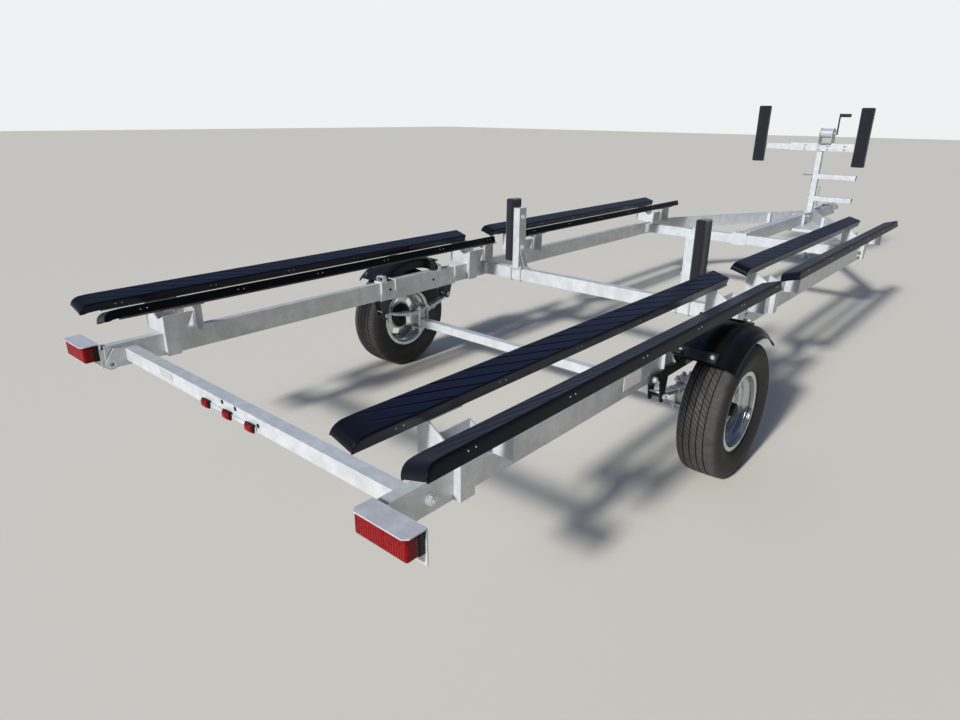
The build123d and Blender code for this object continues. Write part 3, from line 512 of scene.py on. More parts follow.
# a scale is one over a size in metres, a tone is (place in the pattern, colour), a relief is (strength,
# height in metres)
looks = {
    # hot-dipped zinc: cloudy greys at hand size, faint spangle in small cells, and runs
    "galvanised_steel": {
        "name": "galvanisedSteel",
        "by": dippedZinc,
        "fixed": {"Metallic": 0.4},
        "noise": {"Scale": 1 / 0.05, "Detail": 4.0, "Roughness": 0.55},
        "spangle": 0.007,
        "cellShare": 0.16,
        "runStretch": (30.0, 30.0, 4.0),
        "runs": {"Scale": 1.0, "Detail": 3.0},
        "runShare": 0.35,
        "tones": ((0.30, "b7babc"), (0.70, "c6c9cb"), (1.0, "d6d8da")),
        "roughness": (0.34, 0.46),
        "grain": {"Scale": 1 / 0.006, "Detail": 2.0},
        "relief": (0.12, 0.001),
    },
    # zinc over rolled steel: bright and smooth, with fine rings left by the rolling about every 5 mm
    "galvanised_rim": {
        "name": "rolledZincRim",
        "by": rolledZinc,
        "fixed": {"Metallic": 0.9},
        "noise": {"Scale": 1 / 0.03, "Detail": 3.0},
        "rings": 60.0,  # one every 2 pi / (20 * 60) metres
        "tones": ((0.35, "bcc1c4"), (0.7, "d9dcde")),
        "roughness": (0.14, 0.26),
        "relief": (0.5, 0.0006),
    },
    # bright zinc plate over drawn steel: even and satin, faintly brushed
    "zinc_plated_steel": {
        "name": "zincPlatedSteel",
        "by": patterned,
        "fixed": {"Metallic": 0.65},
        "stretch": (500.0, 60.0, 500.0),
        "noise": {"Scale": 1.0},
        "tones": ((0.3, "c8cacc"), (0.7, "e2e4e5")),
        "roughness": (0.28, 0.40),
    },
    # black paint on rolled steel: a slight orange peel, worn a little grey on its high spots
    "black_painted_steel": {
        "name": "blackPaintedSteel",
        "by": patterned,
        "fixed": {"IOR": 1.5},
        "noise": {"Scale": 1 / 0.03, "Detail": 6.0},
        "tones": ((0.45, "1d1e1f"), (0.66, "2a2b2d"), (0.8, "4a4c4e")),
        "roughness": (0.35, 0.55),
        "grain": {"Scale": 1 / 0.004},
        "relief": (0.2, 0.0006),
    },
    # sand-cast iron, painted: near black, dull, with a sandy surface
    "cast_hub": {
        "name": "paintedCastIron",
        "by": patterned,
        "fixed": {"Metallic": 0.3},
        "noise": {"Scale": 1 / 0.0025, "Detail": 3.0},
        "tones": ((0.3, "17181a"), (0.8, "34373a")),
        "roughness": (0.5, 0.7),
        "relief": (0.4, 0.0008),
    },
    # cured tyre rubber: matt charcoal, browner with dust on the faces that meet the road
    "tyre_rubber": {
        "name": "tyreRubber",
        "by": curedRubber,
        "fixed": {"IOR": 1.52},
        "noise": {"Scale": 1 / 0.05, "Detail": 6.0, "Roughness": 0.65},
        "sideTones": ((0.3, "1b1b1d"), (0.6, "242426"), (0.85, "333334")),
        "roadTones": ((0.3, "343231"), (0.6, "413f3d"), (0.85, "524f4c")),
        "roughness": (0.6, 0.78),
        "grain": {"Scale": 1 / 0.002, "Detail": 2.0},
        "relief": (0.3, 0.0005),
    },
    # pressure-treated pine, weathered: long grain along the trailer, grey brown
    "treated_pine": {
        "name": "treatedPine",
        "by": patterned,
        "fixed": {"Roughness": 0.75, "IOR": 1.5},
        "stretch": (1 / 0.006, 1 / 0.25, 1 / 0.006),
        "noise": {"Scale": 1.0, "Detail": 5.0, "Distortion": 0.6},
        "tones": ((0.3, "4d4433"), (0.5, "6a5e48"), (0.7, "85775b")),
        "relief": (0.4, 0.001),
    },
    # black marine carpet: short needle-punched fibres, matt, with a soft sheen
    "black_carpet": {
        "name": "marineCarpet",
        "by": patterned,
        "fixed": {"Roughness": 0.95, "Sheen Weight": 0.35, "Sheen Roughness": 0.5},
        "noise": {"Scale": 1 / 0.0025, "Detail": 4.0, "Roughness": 0.7},
        "tones": ((0.3, "0b0b0f"), (0.55, "17181e"), (0.8, "2b2c33")),
        "relief": (0.8, 0.002),
    },
    # moulded red acrylic: deep red with a hard gloss, lighter where the optics behind scatter light
    "red_lens": {
        "name": "redAcrylic",
        "by": litCells,
        "fixed": {"IOR": 1.49, "Roughness": 0.12, "Specular IOR Level": 0.18},
        "cell": 0.006,
        "tones": ((0.0, "8c0007"), (0.5, "720006"), (1.0, "520004")),
        "relief": (0.15, 0.0005),
    },
    # each look's last colour tints its reflections pale blue: a painted reflection of a blue sky
    "black_fender_plastic": mouldedLook("mouldedFenderPlastic", ("08090a", "101113"), (0.28, 0.40),
                                        0.0018, 0.0003, "ccd2e4"),
    "black_lamp_body": mouldedLook("mouldedLampBody", ("0a0a0b", "131314"), (0.38, 0.48),
                                   0.002, 0.0003, "d0d4dc"),
    "moulded_black_plastic": mouldedLook("extrudedBunkPlastic", ("060709", "0a0c11"), (0.28, 0.38),
                                         0.0025, 0.0002, "c3cbe6"),
    "whiteFilm": labelLook("bareLabelFilm", ("e3e2df", "fdfcf8")),
    "greyFilm": labelLook("bareGreyFilm", ("98999a", "a9abac")),
}
looks["moulded_black_plastic"].update(by=groovedPlastic, groove={
    "pitch": 0.1457,  # along the bunk
    "slope": 0.27,    # across for each metre along
    "flank": (0.045, 0.120),  # where the flank starts and ends, in pitches from the groove's middle
    "depth": 0.0018,
    # navy on the flat tops, and how much of it: a painted reflection of a blue sky
    "topHex": "0b1434",
    "topShare": 0.45,
    # near black in the grooves: painted shade
    "cutHex": "010102",
    "gloss": (0.38, 0.08),  # specular level on the flat and in the groove
})
finishes = {slot: newMaterial(look) for slot, look in looks.items()}
recordSlots = set()
for part in frame["record"]["subparts"]:
    slot = part["material_slot"]
    recordSlots.add(slot)
    target = nodes[part["node"]]
    target.data.materials.clear()
    target.data.materials.append(finishes[slot])
print("finishes on all nodes")

# wheels
wheel = {
    "x": 1.089,
    "y": springY + 0.046,
    "z": 0.317,
    "radius": 0.317,
    "crownDrop": 0.0048,  # at the crown's half width
    "crownHalf": 0.08,
    "grooves": (-0.050, -0.020, 0.010, 0.040),
    "grooveWidth": 0.0048,
    "grooveWall": (0.0005, -0.0004),  # from its edge: where the wall starts and ends
    "grooveDepth": 0.0075,
    "ribPoints": (-0.073, -0.067, -0.061, -0.056, -0.043, -0.035, -0.027, -0.012, -0.005, 0.002, 0.017,
                  0.025, 0.033, 0.047, 0.053, 0.060, 0.067, 0.073),
    "pitches": 84,
    "sipeWidth": 0.0032,
    "sipeDepth": 0.0055,
    # (place across the tread, share of the sipe's depth), fainter on the outer shoulder
    "sipeShare": ((-0.074, 0), (-0.0735, 1), (0.0396, 1), (0.0398, 0.2), (0.0730, 0.2), (0.0735, 0)),
    # (place across the tread, how far round the sipe has slanted), rib by rib
    "sipeLean": ((-0.0740, -0.010), (-0.0526, 0.010), (-0.0474, -0.012), (-0.0226, 0.012),
                 (-0.0174, -0.012), (0.0076, 0.012), (0.0124, -0.012), (0.0376, 0.012), (0.0424, 0.0)),
    "wall": (
        (0.0590, 0.1695), (0.0708, 0.1700), (0.0714, 0.1862), (0.0742, 0.1925), (0.0775, 0.1965),
        (0.0790, 0.1962), (0.0830, 0.2045), (0.0905, 0.2205), (0.0955, 0.2380), (0.0976, 0.2540),
        (0.0971, 0.2680), (0.0962, 0.2720), (0.0972, 0.2740), (0.0962, 0.2770), (0.0942, 0.2815),
        (0.0915, 0.2900), (0.0885, 0.2972), (0.0850, 0.3034), (0.0810, 0.3082), (0.0765, 0.3112),
    ),
    "lining": ((0.062, 0.235), (0.086, 0.240), (0.088, 0.270), (0.078, 0.296), (0.040, 0.303)),
    "shoulderRib": 0.0007,
    "roadShare": ((0.280, 0.0), (0.300, 0.35), (0.312, 1.0)),  # (radius, share of the road's colour)
    # share of the road's colour in the deep sipes; the darker rest is a painted shade
    "sipeShade": 0.15,
}


def tyre(side, sign):
    # a ring of sections; the crown is r = R - drop * (|x| / half)^2.8, less grooves and slanted sipes
    w = wheel
    gap = w["grooveWidth"] / 2
    edges = [g + way * (gap + k) for g in w["grooves"] for way in (-1, 1) for k in w["grooveWall"]]
    crown = np.array(sorted([*edges, *w["ribPoints"]]))
    crownR = w["radius"] - w["crownDrop"] * (np.abs(crown) / w["crownHalf"]) ** 2.8
    wall, lining = np.array(w["wall"]), np.array(w["lining"])
    flip = np.array([-1, 1])
    section = np.concatenate([wall * flip, np.stack([crown, crownR], -1), wall[::-1], lining,
                              (lining * flip)[::-1]])
    x, radius = section.T
    onCrown, grooved = np.zeros((2, len(section)), bool)
    tread = slice(len(wall), len(wall) + len(crown))
    onCrown[tread] = True
    grooved[tread] = (np.abs(crown[:, None] - np.array(w["grooves"])) < gap).any(1)
    pitch = 2 * np.pi / w["pitches"]
    cut = w["sipeWidth"] / w["radius"] / 2
    local = np.array([-0.5 * pitch, -0.25 * pitch, -cut * 1.3, -cut * 0.7, cut * 0.7, cut * 1.3,
                      0.25 * pitch])
    angle = (np.arange(w["pitches"])[:, None] * pitch + local).ravel()
    isSipe = np.tile([False, False, False, True, True, False, False], w["pitches"])
    lean = np.interp(x, *np.array(w["sipeLean"]).T)
    theta = angle[:, None] + np.where(onCrown, lean, 0)[None, :] / w["radius"]
    depth = np.interp(x, *np.array(w["sipeShare"]).T) * w["sipeDepth"]
    depth = np.where(onCrown & ~grooved, depth, 0)
    r = np.broadcast_to(radius, theta.shape) - np.where(grooved, w["grooveDepth"], 0)[None, :]
    r = r - isSipe[:, None] * depth[None, :]
    # fine ribs run up the shoulders just under the tread
    shoulder = ~onCrown & (radius > 0.285) & (np.abs(x) > 0.079)
    r = r - shoulder[None, :] * w["shoulderRib"] * (np.cos(angle * w["pitches"])[:, None] > 0)
    points = np.stack([np.broadcast_to(sign * (x + w["x"]), theta.shape),
                       r * np.cos(theta) + w["y"], r * np.sin(theta) + w["z"]], -1)
    # each face starts a corner later, which chooses the diagonal that it is split along
    faces = np.roll(gridFaces(len(angle), len(section), True, True), -1, axis=1)
    shape = points.reshape(-1, 3), faces
    piece = makePiece("tyre_tread_" + side, [shape], "tyre_rubber", "wheel_" + side, 32, "tyre_" + side)
    # the road's dusty colour fades in over the shoulder; the grooves and most of the sipes keep the darker
    # side colour, a painted shade in them
    road = np.interp(radius, *np.array(w["roadShare"]).T) * ~grooved
    road = road[None, :] * np.where(isSipe[:, None] & (depth > 0.004)[None, :], w["sipeShade"], 1.0)
    tint = piece.data.attributes.new("tread", "FLOAT", "POINT")
    tint.data.foreach_set("value", road.ravel())


for side, sign in sides:
    tyre(side, sign)
print("tyres done")

# rims: a rolled barrel with a drop centre, and a dished disc with five windows
rim = {
    "barrel": (
        (-0.0758, 0.1700), (-0.0758, 0.1850), (-0.0750, 0.1868), (-0.0735, 0.1872), (-0.0722, 0.1862),
        (-0.0716, 0.1840), (-0.0716, 0.1705), (-0.0690, 0.1684), (-0.0530, 0.1680), (-0.0480, 0.1660),
        (-0.0400, 0.1540), (-0.0350, 0.1505), (0.0230, 0.1505), (0.0290, 0.1535), (0.0420, 0.1655),
        (0.0500, 0.1680), (0.0690, 0.1684), (0.0716, 0.1705), (0.0716, 0.1840), (0.0722, 0.1862),
        (0.0735, 0.1872), (0.0750, 0.1868), (0.0758, 0.1850), (0.0758, 0.1700), (0.0748, 0.1672),
        (0.0720, 0.1652), (0.0690, 0.1646), (0.0610, 0.1642), (0.0590, 0.1634), (0.0565, 0.1638),
        (0.0510, 0.1636), (0.0460, 0.1618), (0.0380, 0.1552), (0.0290, 0.1482), (0.0240, 0.1464),
        (-0.0360, 0.1464), (-0.0410, 0.1482), (-0.0440, 0.1512), (-0.0480, 0.1560), (-0.0500, 0.1600),
        (-0.0530, 0.1634), (-0.0570, 0.1638), (-0.0590, 0.1630), (-0.0620, 0.1640), (-0.0700, 0.1646),
        (-0.0720, 0.1652), (-0.0748, 0.1672),
    ),
    "disc": ((0.0340, 0.0040), (0.0560, 0.0040), (0.0740, 0.0040), (0.0780, 0.0052), (0.0812, 0.0086),
             (0.0850, 0.0108), (0.0900, 0.0112), (0.1320, 0.0130), (0.1370, 0.0150), (0.1400, 0.0190),
             (0.1425, 0.0230), (0.1462, 0.0240)),
    "sheet": 0.0045,
    "windowFrom": 0.0940,
    "windowTo": 0.1290,
    "windowHalf": 0.030,
    "windowCorner": 0.011,
}


def rimShapes():
    # barrel by turning; the disc is a polar grid whose columns bend to the windows' rounded outline:
    # half width = half - c + sqrt(c^2 - (c - d)^2), d being the distance from the window's end
    m = rim
    low, high, corner = m["windowFrom"], m["windowTo"], m["windowCorner"]
    bend = corner * (1 - np.cos(np.linspace(0, np.pi / 2, 6)))
    radii = np.unique(np.round(np.concatenate([[k[0] for k in m["disc"]], low + bend, high - bend]), 6))
    face = np.interp(radii, *np.array(m["disc"]).T)
    ends = np.clip(np.minimum(radii - low, high - radii), 0, corner)
    half = ((m["windowHalf"] - corner + np.sqrt(corner ** 2 - (corner - ends) ** 2)) / radii)[:, None]
    sector = np.pi / 5
    beyond = half + (sector - half) * np.array([0.33, 0.67, 1.0])
    local = np.concatenate([-beyond[:, 1::-1], half * np.array([-1, -0.5, 0, 0.5, 1]), beyond], 1)
    angle = (np.arange(5)[:, None, None] * 2 * sector + sector + local[None]).transpose(1, 0, 2)
    angle = angle.reshape(len(radii), -1)
    middle = (radii[1:] + radii[:-1]) / 2
    windowRow = (middle > low) & (middle < high)
    windowColumn = np.tile([False, False, True, True, True, True, False, False, False, False], 5)
    keep = ~(windowRow[:, None] & windowColumn[None, :])

    def sheet(shift):
        x = np.broadcast_to((face + shift)[:, None], angle.shape)
        return np.stack([x, radii[:, None] * np.cos(angle), radii[:, None] * np.sin(angle)], -1)

    return [turned(m["barrel"], 96), walled(sheet(0), sheet(-m["sheet"]), keep, closeColumns=True)]


def onWheel(sign, shapes):
    # shapes about the X axis, outward along +X, put on the wheel of that side
    centre = (sign * wheel["x"], wheel["y"], wheel["z"])
    return [(verts * (sign, 1, 1) + centre, faces) for verts, faces in shapes]


hub = {
    "barrel": (
        (-0.0800, 0.0162), (-0.0800, 0.0345), (-0.0785, 0.0360), (-0.0330, 0.0378), (-0.0290, 0.0400),
        (-0.0140, 0.0735), (-0.0110, 0.0758), (-0.0020, 0.0760), (-0.0010, 0.0750), (-0.0010, 0.0332),
        (0.0240, 0.0322), (0.0255, 0.0312), (0.0275, 0.0318), (0.0470, 0.0302), (0.0505, 0.0290),
        (0.0530, 0.0250), (0.0538, 0.0220), (0.0542, 0.0120), (0.0530, 0.0100), (0.0530, 0.0040),
        (0.0200, 0.0040), (0.0200, 0.0162),
    ),
    "studCircle": 0.05715,
    "nutSize": 0.0215,
    "nutSeat": 0.0045,
    "nutStub": 0.006,
}
turns = np.arange(5) * 2 * np.pi / 5
seats = np.stack([np.full(5, hub["nutSeat"]), hub["studCircle"] * np.cos(turns),
                  hub["studCircle"] * np.sin(turns)], -1)
nuts = scattered(hexHead(hub["nutSize"], hub["nutStub"]), [(p, (1, 0, 0), a) for p, a in zip(seats, turns)])
for side, sign in sides:
    body = "wheel_" + side
    makePiece("rolled_rim_" + side, onWheel(sign, rimShapes()), "galvanised_rim", body, 38, "rim_" + side)
    barrel = turned(hub["barrel"], 64)
    makePiece("hub_and_cap_" + side, onWheel(sign, [barrel]), "cast_hub", body, 35, "hub_" + side)
    makePiece("wheel_nuts_" + side, onWheel(sign, [nuts]), "zinc_plated_steel", body, 35)
print("rims and hubs done")

# bunk covers: a flat-topped channel over each board, its rear end rolled down
bunk = {
    "width": 0.095,
    "height": 0.045,
    "skirt": {-1: 0.038, 1: 0.0455},  # left, right
    "wall": 0.0035,
    "corner": 0.006,
    "tilt": 16.5,
    "cradleX": 0.9135,
    "lowOffset": 0.0805,
    "lowZ": 0.783,
    "nose": 0.085,
    "bendFrom": 0.043,  # behind the straight part
    "bendDrop": 0.035,
    "sag": 0.002,       # where the bend starts
    "rows": ((-1, -1.845, 0.585), (1, -1.845, 0.585), (-1, 0.860, 3.300), (1, 0.860, 3.300)),  # lean, ends
}


def bunkAxes(sign, lean):
    # the low edge's point at station 0, and the axes across and up from the bunk's face
    tilt = math.radians(bunk["tilt"])
    low = at(sign * (bunk["cradleX"] + lean * bunk["lowOffset"]), 0, bunk["lowZ"])
    across = np.array([sign * lean * math.cos(tilt), 0, math.sin(tilt)])
    up = np.array([-sign * lean * math.sin(tilt), 0, math.cos(tilt)])
    return low, across, up


def bunkCover(sign, lean, start, end):
    # section: wall up, rounded corner, flat top, corner, wall down. At a distance q behind the straight
    # part it sinks by sag * (q / from)^2, and is then rolled down as a quarter ellipse,
    # drop * (1 - sqrt(1 - share^2)). The last result is each point's place across and along the cover,
    # and its share on the straight top.
    b = bunk
    low, across, up = bunkAxes(sign, lean)
    r = b["corner"]
    quarter = np.linspace(0, np.pi / 2, 5)
    leftSide = np.stack([np.zeros(4), np.linspace(-b["skirt"][sign], -r, 4)], -1)
    leftCorner = np.stack([r - r * np.cos(quarter), -r + r * np.sin(quarter)], -1)[1:]
    u = np.linspace(r, b["width"] - r, 22)[1:-1]
    mirrored = np.concatenate([leftSide, leftCorner])[::-1] * (-1, 1) + (b["width"], 0)
    outer = np.concatenate([leftSide, leftCorner, np.stack([u, 0 * u], -1), mirrored])
    inner = np.stack([np.clip(outer[:, 0], b["wall"], b["width"] - b["wall"]),
                      np.clip(outer[:, 1], -1, -b["wall"] - 0.001)], -1)
    bend = b["nose"] - b["bendFrom"]
    q = np.concatenate([[0, 0.012, 0.024, 0.036],
                        b["bendFrom"] + bend * np.sin(np.linspace(0, np.pi / 2, 10))])
    share = np.clip((q - b["bendFrom"]) / bend, 0, 1)
    drop = (b["bendDrop"] * (1 - np.sqrt(1 - share ** 2))
            + b["sag"] * np.clip(q / b["bendFrom"], 0, 1) ** 2)
    run = np.concatenate([start + b["nose"] - q[::-1], np.linspace(start + b["nose"], end, 13)[1:]])
    drop = np.concatenate([drop[::-1], np.zeros(12)])[:, None]

    def placed(section):
        w = np.maximum(section[:, 1] - drop, -b["height"])
        return (low + section[:, :1] * across + w[..., None] * up
                + run[:, None, None] * np.array([0, 1.0, 0]))

    # the grooves slant the same way on every cover, so across is always measured from the right
    fromRight = b["width"] - outer[:, 0] if sign * lean > 0 else outer[:, 0]
    # the share on the straight top places both the grooves and the painted sky reflection on the tops
    onTop = (outer[:, 1] > -1e-6) * np.clip((run - start - b["nose"] + 0.012) / 0.04, 0, 1)[:, None]
    lay = np.stack(np.broadcast_arrays(fromRight, run[:, None], onTop), -1).reshape(-1, 3)
    return *walled(placed(outer), placed(inner)), np.concatenate([lay, lay])


for side, sign in sides:
    made = [bunkCover(sign, lean, start, end) for lean, start, end in bunk["rows"]]
    piece = makePiece("ribbed_bunk_covers_" + side, [(verts, faces) for verts, faces, _ in made],
                      "moulded_black_plastic", "root", 50, "bunk_covers_" + side)
    lay = np.concatenate([part[2] for part in made])
    for column, name in enumerate(("across", "run", "top")):
        values = piece.data.attributes.new(name, "FLOAT", "POINT")
        values.data.foreach_set("value", lay[:, column])
print("bunk covers done")

# fenders: part of a drum about the wheel with a rounded shoulder, a bead and a groove line
fender = {
    "radius": 0.391,
    "sheet": 0.004,
    "from": 50,   # degrees about the wheel, up from straight ahead
    "sweep": 83,
    # (from the middle, over the drum)
    "section": ((0.9320, -0.060), (0.9320, -0.014), (0.9330, -0.0085), (0.9365, -0.0035), (0.9430, -0.0008),
                (0.9600, 0.0), (1.0200, 0.0), (1.0600, 0.0), (1.1040, 0.0), (1.1080, -0.0018),
                (1.1120, -0.0002), (1.1160, -0.0018), (1.1200, -0.0004), (1.1360, -0.0012),
                (1.1480, -0.0045), (1.1560, -0.0085), (1.1640, -0.0135), (1.1710, -0.0195),
                (1.1765, -0.0265), (1.1800, -0.0335), (1.1820, -0.0385), (1.1845, -0.0410),
                (1.1900, -0.0425), (1.1960, -0.0430)),
}


def fenderShell(sign):
    # the section carried round the arc, the inner grid a sheet's thickness in
    f = fender
    section = np.array(f["section"])
    way = along(section)
    under = section - np.stack([-way[:, 1], way[:, 0]], -1) * f["sheet"] * 0.95
    angle = np.radians(np.linspace(f["from"], f["from"] + f["sweep"], 61))[:, None]

    def swept(rows):
        r = f["radius"] + rows[:, 1]
        x = np.broadcast_to(sign * rows[:, 0], (len(angle), len(rows)))
        return np.stack([x, r * np.cos(angle) + wheel["y"], r * np.sin(angle) + wheel["z"]], -1)

    return walled(swept(section), swept(under))


makePiece("moulded_fenders", [fenderShell(sign) for _, sign in sides], "black_fender_plastic", "root", 45,
          "fenders")
print("fenders done")

# carpeted pads: foam boards wrapped in carpet, crowned on the side that meets the boat
pads = {
    "corner": 0.013,
    "crown": 0.006,
    "waist": 0.002,
    "bow": ((-0.604, 4.899, 1.390), (0.382, 4.899, 1.370)),
    "bowHalf": (0.060, 0.025, 0.280),
    "guide": (0.636, 0.652, 0.855),
    "guideHalf": (0.028, 0.050, 0.200),
}


def pad(centre, half, face, sign):
    # rounded box whose face on that axis and side swells by crown * (1 - u^2)(1 - v^2), and whose long
    # sides pull in by waist * u * (1 - v^2) between the corners
    verts, faces = roundedBox(half, pads["corner"], (6, 6, 24))
    share = verts / np.array(half)
    u, v = [k for k in range(3) if k != face]
    swell = pads["crown"] * (1 - share[:, u] ** 2) * (1 - share[:, v] ** 2)
    verts[:, face] += sign * swell * (sign * share[:, face] > 0.2)
    verts[:, u] -= pads["waist"] * share[:, u] * (1 - share[:, v] ** 2)
    return moved((verts, faces), centre)


shapes = [pad(at(*place), pads["bowHalf"], 1, -1) for place in pads["bow"]]
piece = makePiece("carpeted_bow_pads", shapes, "black_carpet", "root", 60, "bow_pads")
x, station, z = pads["guide"]
shapes = [pad(at(sign * x, station, z), pads["guideHalf"], 0, sign) for _, sign in sides]
piece = makePiece("carpeted_guide_pads", shapes, "black_carpet", "root", 60, "guide_pads")
print("pads done")

# lamps: fluted lenses over black bodies; three small markers on a bright strip in the middle
# a box is its half size, corner radius and cells
lamp = {
    "lensPlace": (0.981, -1.879, 0.597),
    "lens": ((0.0975, 0.0215, 0.034), 0.009, (164, 4, 6)),
    "flute": 0.0092,
    "fluteDepth": 0.0011,
    "webX": 0.012,
    "webHalf": 0.003,
    "casePlace": (0.9825, -1.848, 0.5965),
    "case": ((0.0955, 0.0120, 0.0355), 0.005, (8, 2, 6)),
    "markerX": (-0.161, -0.012, 0.137),
    "markerZ": 0.557,
    "markerStation": -1.753,
    "marker": ((0.022, 0.007, 0.0135), 0.005, (8, 2, 6)),
    "dome": 0.003,
    "bezelStation": -1.7485,
    "bezel": ((0.0255, 0.0035, 0.0165), 0.003, (4, 1, 4)),
    "stripPlace": (-0.012, -1.7430, 0.5560),
    "strip": ((0.180, 0.0015, 0.0070), 0.0012, (20, 1, 1)),
}


def tailLens():
    # rounded box; its rear face sinks by depth * |cos(pi x / flute)|, and a middle web stands clear
    verts, faces = roundedBox(*lamp["lens"])
    rear = verts[:, 1] < verts[:, 1].min() + 0.0005
    web = np.abs(verts[:, 0] - lamp["webX"]) < lamp["webHalf"]
    verts[:, 1] += rear * ~web * lamp["fluteDepth"] * np.abs(np.cos(np.pi * verts[:, 0] / lamp["flute"]))
    return verts, faces


def markerLens():
    # rounded box whose rear half is flattened, then domed by dome * (1 - u^2)(1 - v^2)
    verts, faces = roundedBox(*lamp["marker"])
    share = verts / np.array(lamp["marker"][0])
    dome = lamp["dome"] * (1 - share[:, 0] ** 2) * (1 - share[:, 2] ** 2)
    verts[:, 1] = np.where(share[:, 1] < 0, verts[:, 1] * 0.8 - dome, verts[:, 1])
    return verts, faces


def onBothSides(shape, place):
    # a shape at a place on the left and at its mirrored place on the right
    x, station, z = place
    return [moved(shape, at(sign * x, station, z)) for _, sign in sides]


shapes = onBothSides(tailLens(), lamp["lensPlace"])
shapes += [moved(markerLens(), at(x, lamp["markerStation"], lamp["markerZ"])) for x in lamp["markerX"]]
makePiece("fluted_lenses", shapes, "red_lens", standsFor="lamp_lenses")
shapes = onBothSides(roundedBox(*lamp["case"]), lamp["casePlace"])
bezel = roundedBox(*lamp["bezel"])
shapes += [moved(bezel, at(x, lamp["bezelStation"], lamp["markerZ"])) for x in lamp["markerX"]]
makePiece("lamp_cases", shapes, "black_lamp_body", standsFor="lamp_bases")
makePiece("marker_strip", [moved(roundedBox(*lamp["strip"]), at(*lamp["stripPlace"]))], "galvanised_steel")
print("lamps done")


# bolts and nuts; a row's columns are x, station, height, the way it points and its size
def bolted(name, rows, stub=0.004):
    # hexagon heads on washers at a list of places, each turned a little more than the last, as one piece
    shapes = [scattered(hexHead(size, stub), [(at(x, station, z), way, i * 0.7)])
              for i, (x, station, z, way, size) in enumerate(rows)]
    makePiece(name, shapes, "zinc_plated_steel", smooth=32)


toLeft, toRight, back, up, down = (-1, 0, 0), (1, 0, 0), (0, -1, 0), (0, 0, 1), (0, 0, -1)
rows = []
for _, sign in sides:
    face, inward = (sign, 0, 0), (-sign, 0, 0)
    # on the rails and the axle carriages
    rows += [(sign * 0.917, s, z, face, size) for s, z, size in (
        (-1.664, 0.566, 0.032), (0.652, 0.556, 0.022), (0.652, 0.594, 0.022),
        (3.000, 0.556, 0.022), (3.000, 0.594, 0.022))]
    rows += [(sign * 0.932, s, 0.535, face, 0.024) for s in (-0.375, -0.060, 0.300)]
    rows += [(sign * x, s, z, way, 0.021) for x, way in ((0.932, face), (0.862, inward))
             for s, z in ((0.270, 0.457), (-0.265, 0.423))]
    # on the axle clamps, above and below
    rows += [(sign * (0.897 + x), 0.046 + s, z, way, 0.022) for z, way in ((0.4075, up), (0.2765, down))
             for x in (-0.030, 0.030) for s in (-0.034, 0.034)]
    # on the ends of the guide posts' U-bolts, the post base, the tongue's sides and the saddle
    rows += [(sign * x, s, 0.617, up, 0.019) for x in (0.546, 0.622) for s in (0.6215, 0.6825)]
    rows += [(sign * 0.028, s, 0.626, up, 0.019) for s in (4.895, 5.005)]
    rows += [(sign * 0.043, s, z, face, 0.022) for s in (4.660, 4.760) for z in (0.545, 0.590)]
    rows += [(sign * 0.046, s, 0.6255, up, 0.022) for s in (2.998, 3.062)]
    rows += [(sign * 0.0425, s, 0.588, face, 0.024) for s in (5.690, 5.760)]
# on the bow bar, the winch frame, the jack mount and the guide posts
rows += [(x, 4.912, z, back, 0.024) for x in (-0.150, -0.016, 0.070, 0.230) for z in (1.256, 1.290)]
rows += [(-0.0255, 4.950, z, toLeft, 0.022) for z in (0.755, 0.980)]
rows += [(-0.046, s, z, toLeft, 0.020) for s in (5.564, 5.636) for z in (0.517, 0.613)]
rows += [(x, 0.652, z, way, 0.030) for x, way in ((-0.560, toRight), (0.560, toLeft)) for z in (0.750, 0.943)]
bolted("frame_bolts", rows)

bunkScrew = {
    "brackets": ((-1.570, -1.425), (0.465, 0.610), (1.020, 1.165), (3.045, 3.190)),  # rear and front ends
    "fromEnd": 0.030,
    "across": 0.046,
    "below": 0.050,
    "size": 0.020,
}
rows = []
for _, sign in sides:
    for lean in (-1, 1):
        low, across, upward = bunkAxes(sign, lean)
        x, _, z = low + bunkScrew["across"] * across - bunkScrew["below"] * upward
        rows += [(x, s, z, tuple(-upward), bunkScrew["size"]) for rear, front in bunkScrew["brackets"]
                 for s in (rear + bunkScrew["fromEnd"], front - bunkScrew["fromEnd"])]
bolted("bunk_screws", rows, 0.0005)

# a bolt through each strap and the fender's crown
strapBolt = {
    "degrees": (129, 72),
    "x": (0.958, 1.098),
    "radius": 0.401,
    "size": 0.016,
    "stub": 0.002,
}
places = []
for _, sign in sides:
    for a in np.radians(strapBolt["degrees"]):
        way = np.array([0, math.cos(a), math.sin(a)])
        centre = strapBolt["radius"] * way + (0, wheel["y"], wheel["z"])
        places += [(centre + (sign * x, 0, 0), way, x) for x in strapBolt["x"]]
bolt = hexHead(strapBolt["size"], strapBolt["stub"])
makePiece("fender_bolts", [scattered(bolt, places)], "zinc_plated_steel", smooth=32)
print("bolts done")


def bentStrip(path, size):
    # a strip of a width along the trailer and a thickness, over a path whose corners have that radius
    width, thickness, corner = size
    return strip(rounded(path, corner), (0, width, 0), thickness)


# leaf springs: each leaf an arc about one centre; the top one is rolled round the front pin
spring = {
    "x": 0.897,
    "width": 0.045,
    "leaf": 0.007,
    "radius": 0.754,
    "centreZ": 1.147,
    # leaf, reach behind, reach ahead
    "reach": ((0, 0.285, 0.268), (1, 0.190, 0.215), (2, 0.100, 0.165), (3, 0.020, 0.112)),
    "pin": (0.270, 0.457),
    "eye": 0.0095,
    "clips": (-0.075, 0.140),
    # across from the leaf's middle and up from its face
    "clipPath": ((-0.024, -0.024), (-0.024, 0.001), (0.024, 0.001), (0.024, -0.024)),
    "clipStrip": (-0.018, 0.003, 0.004),
}


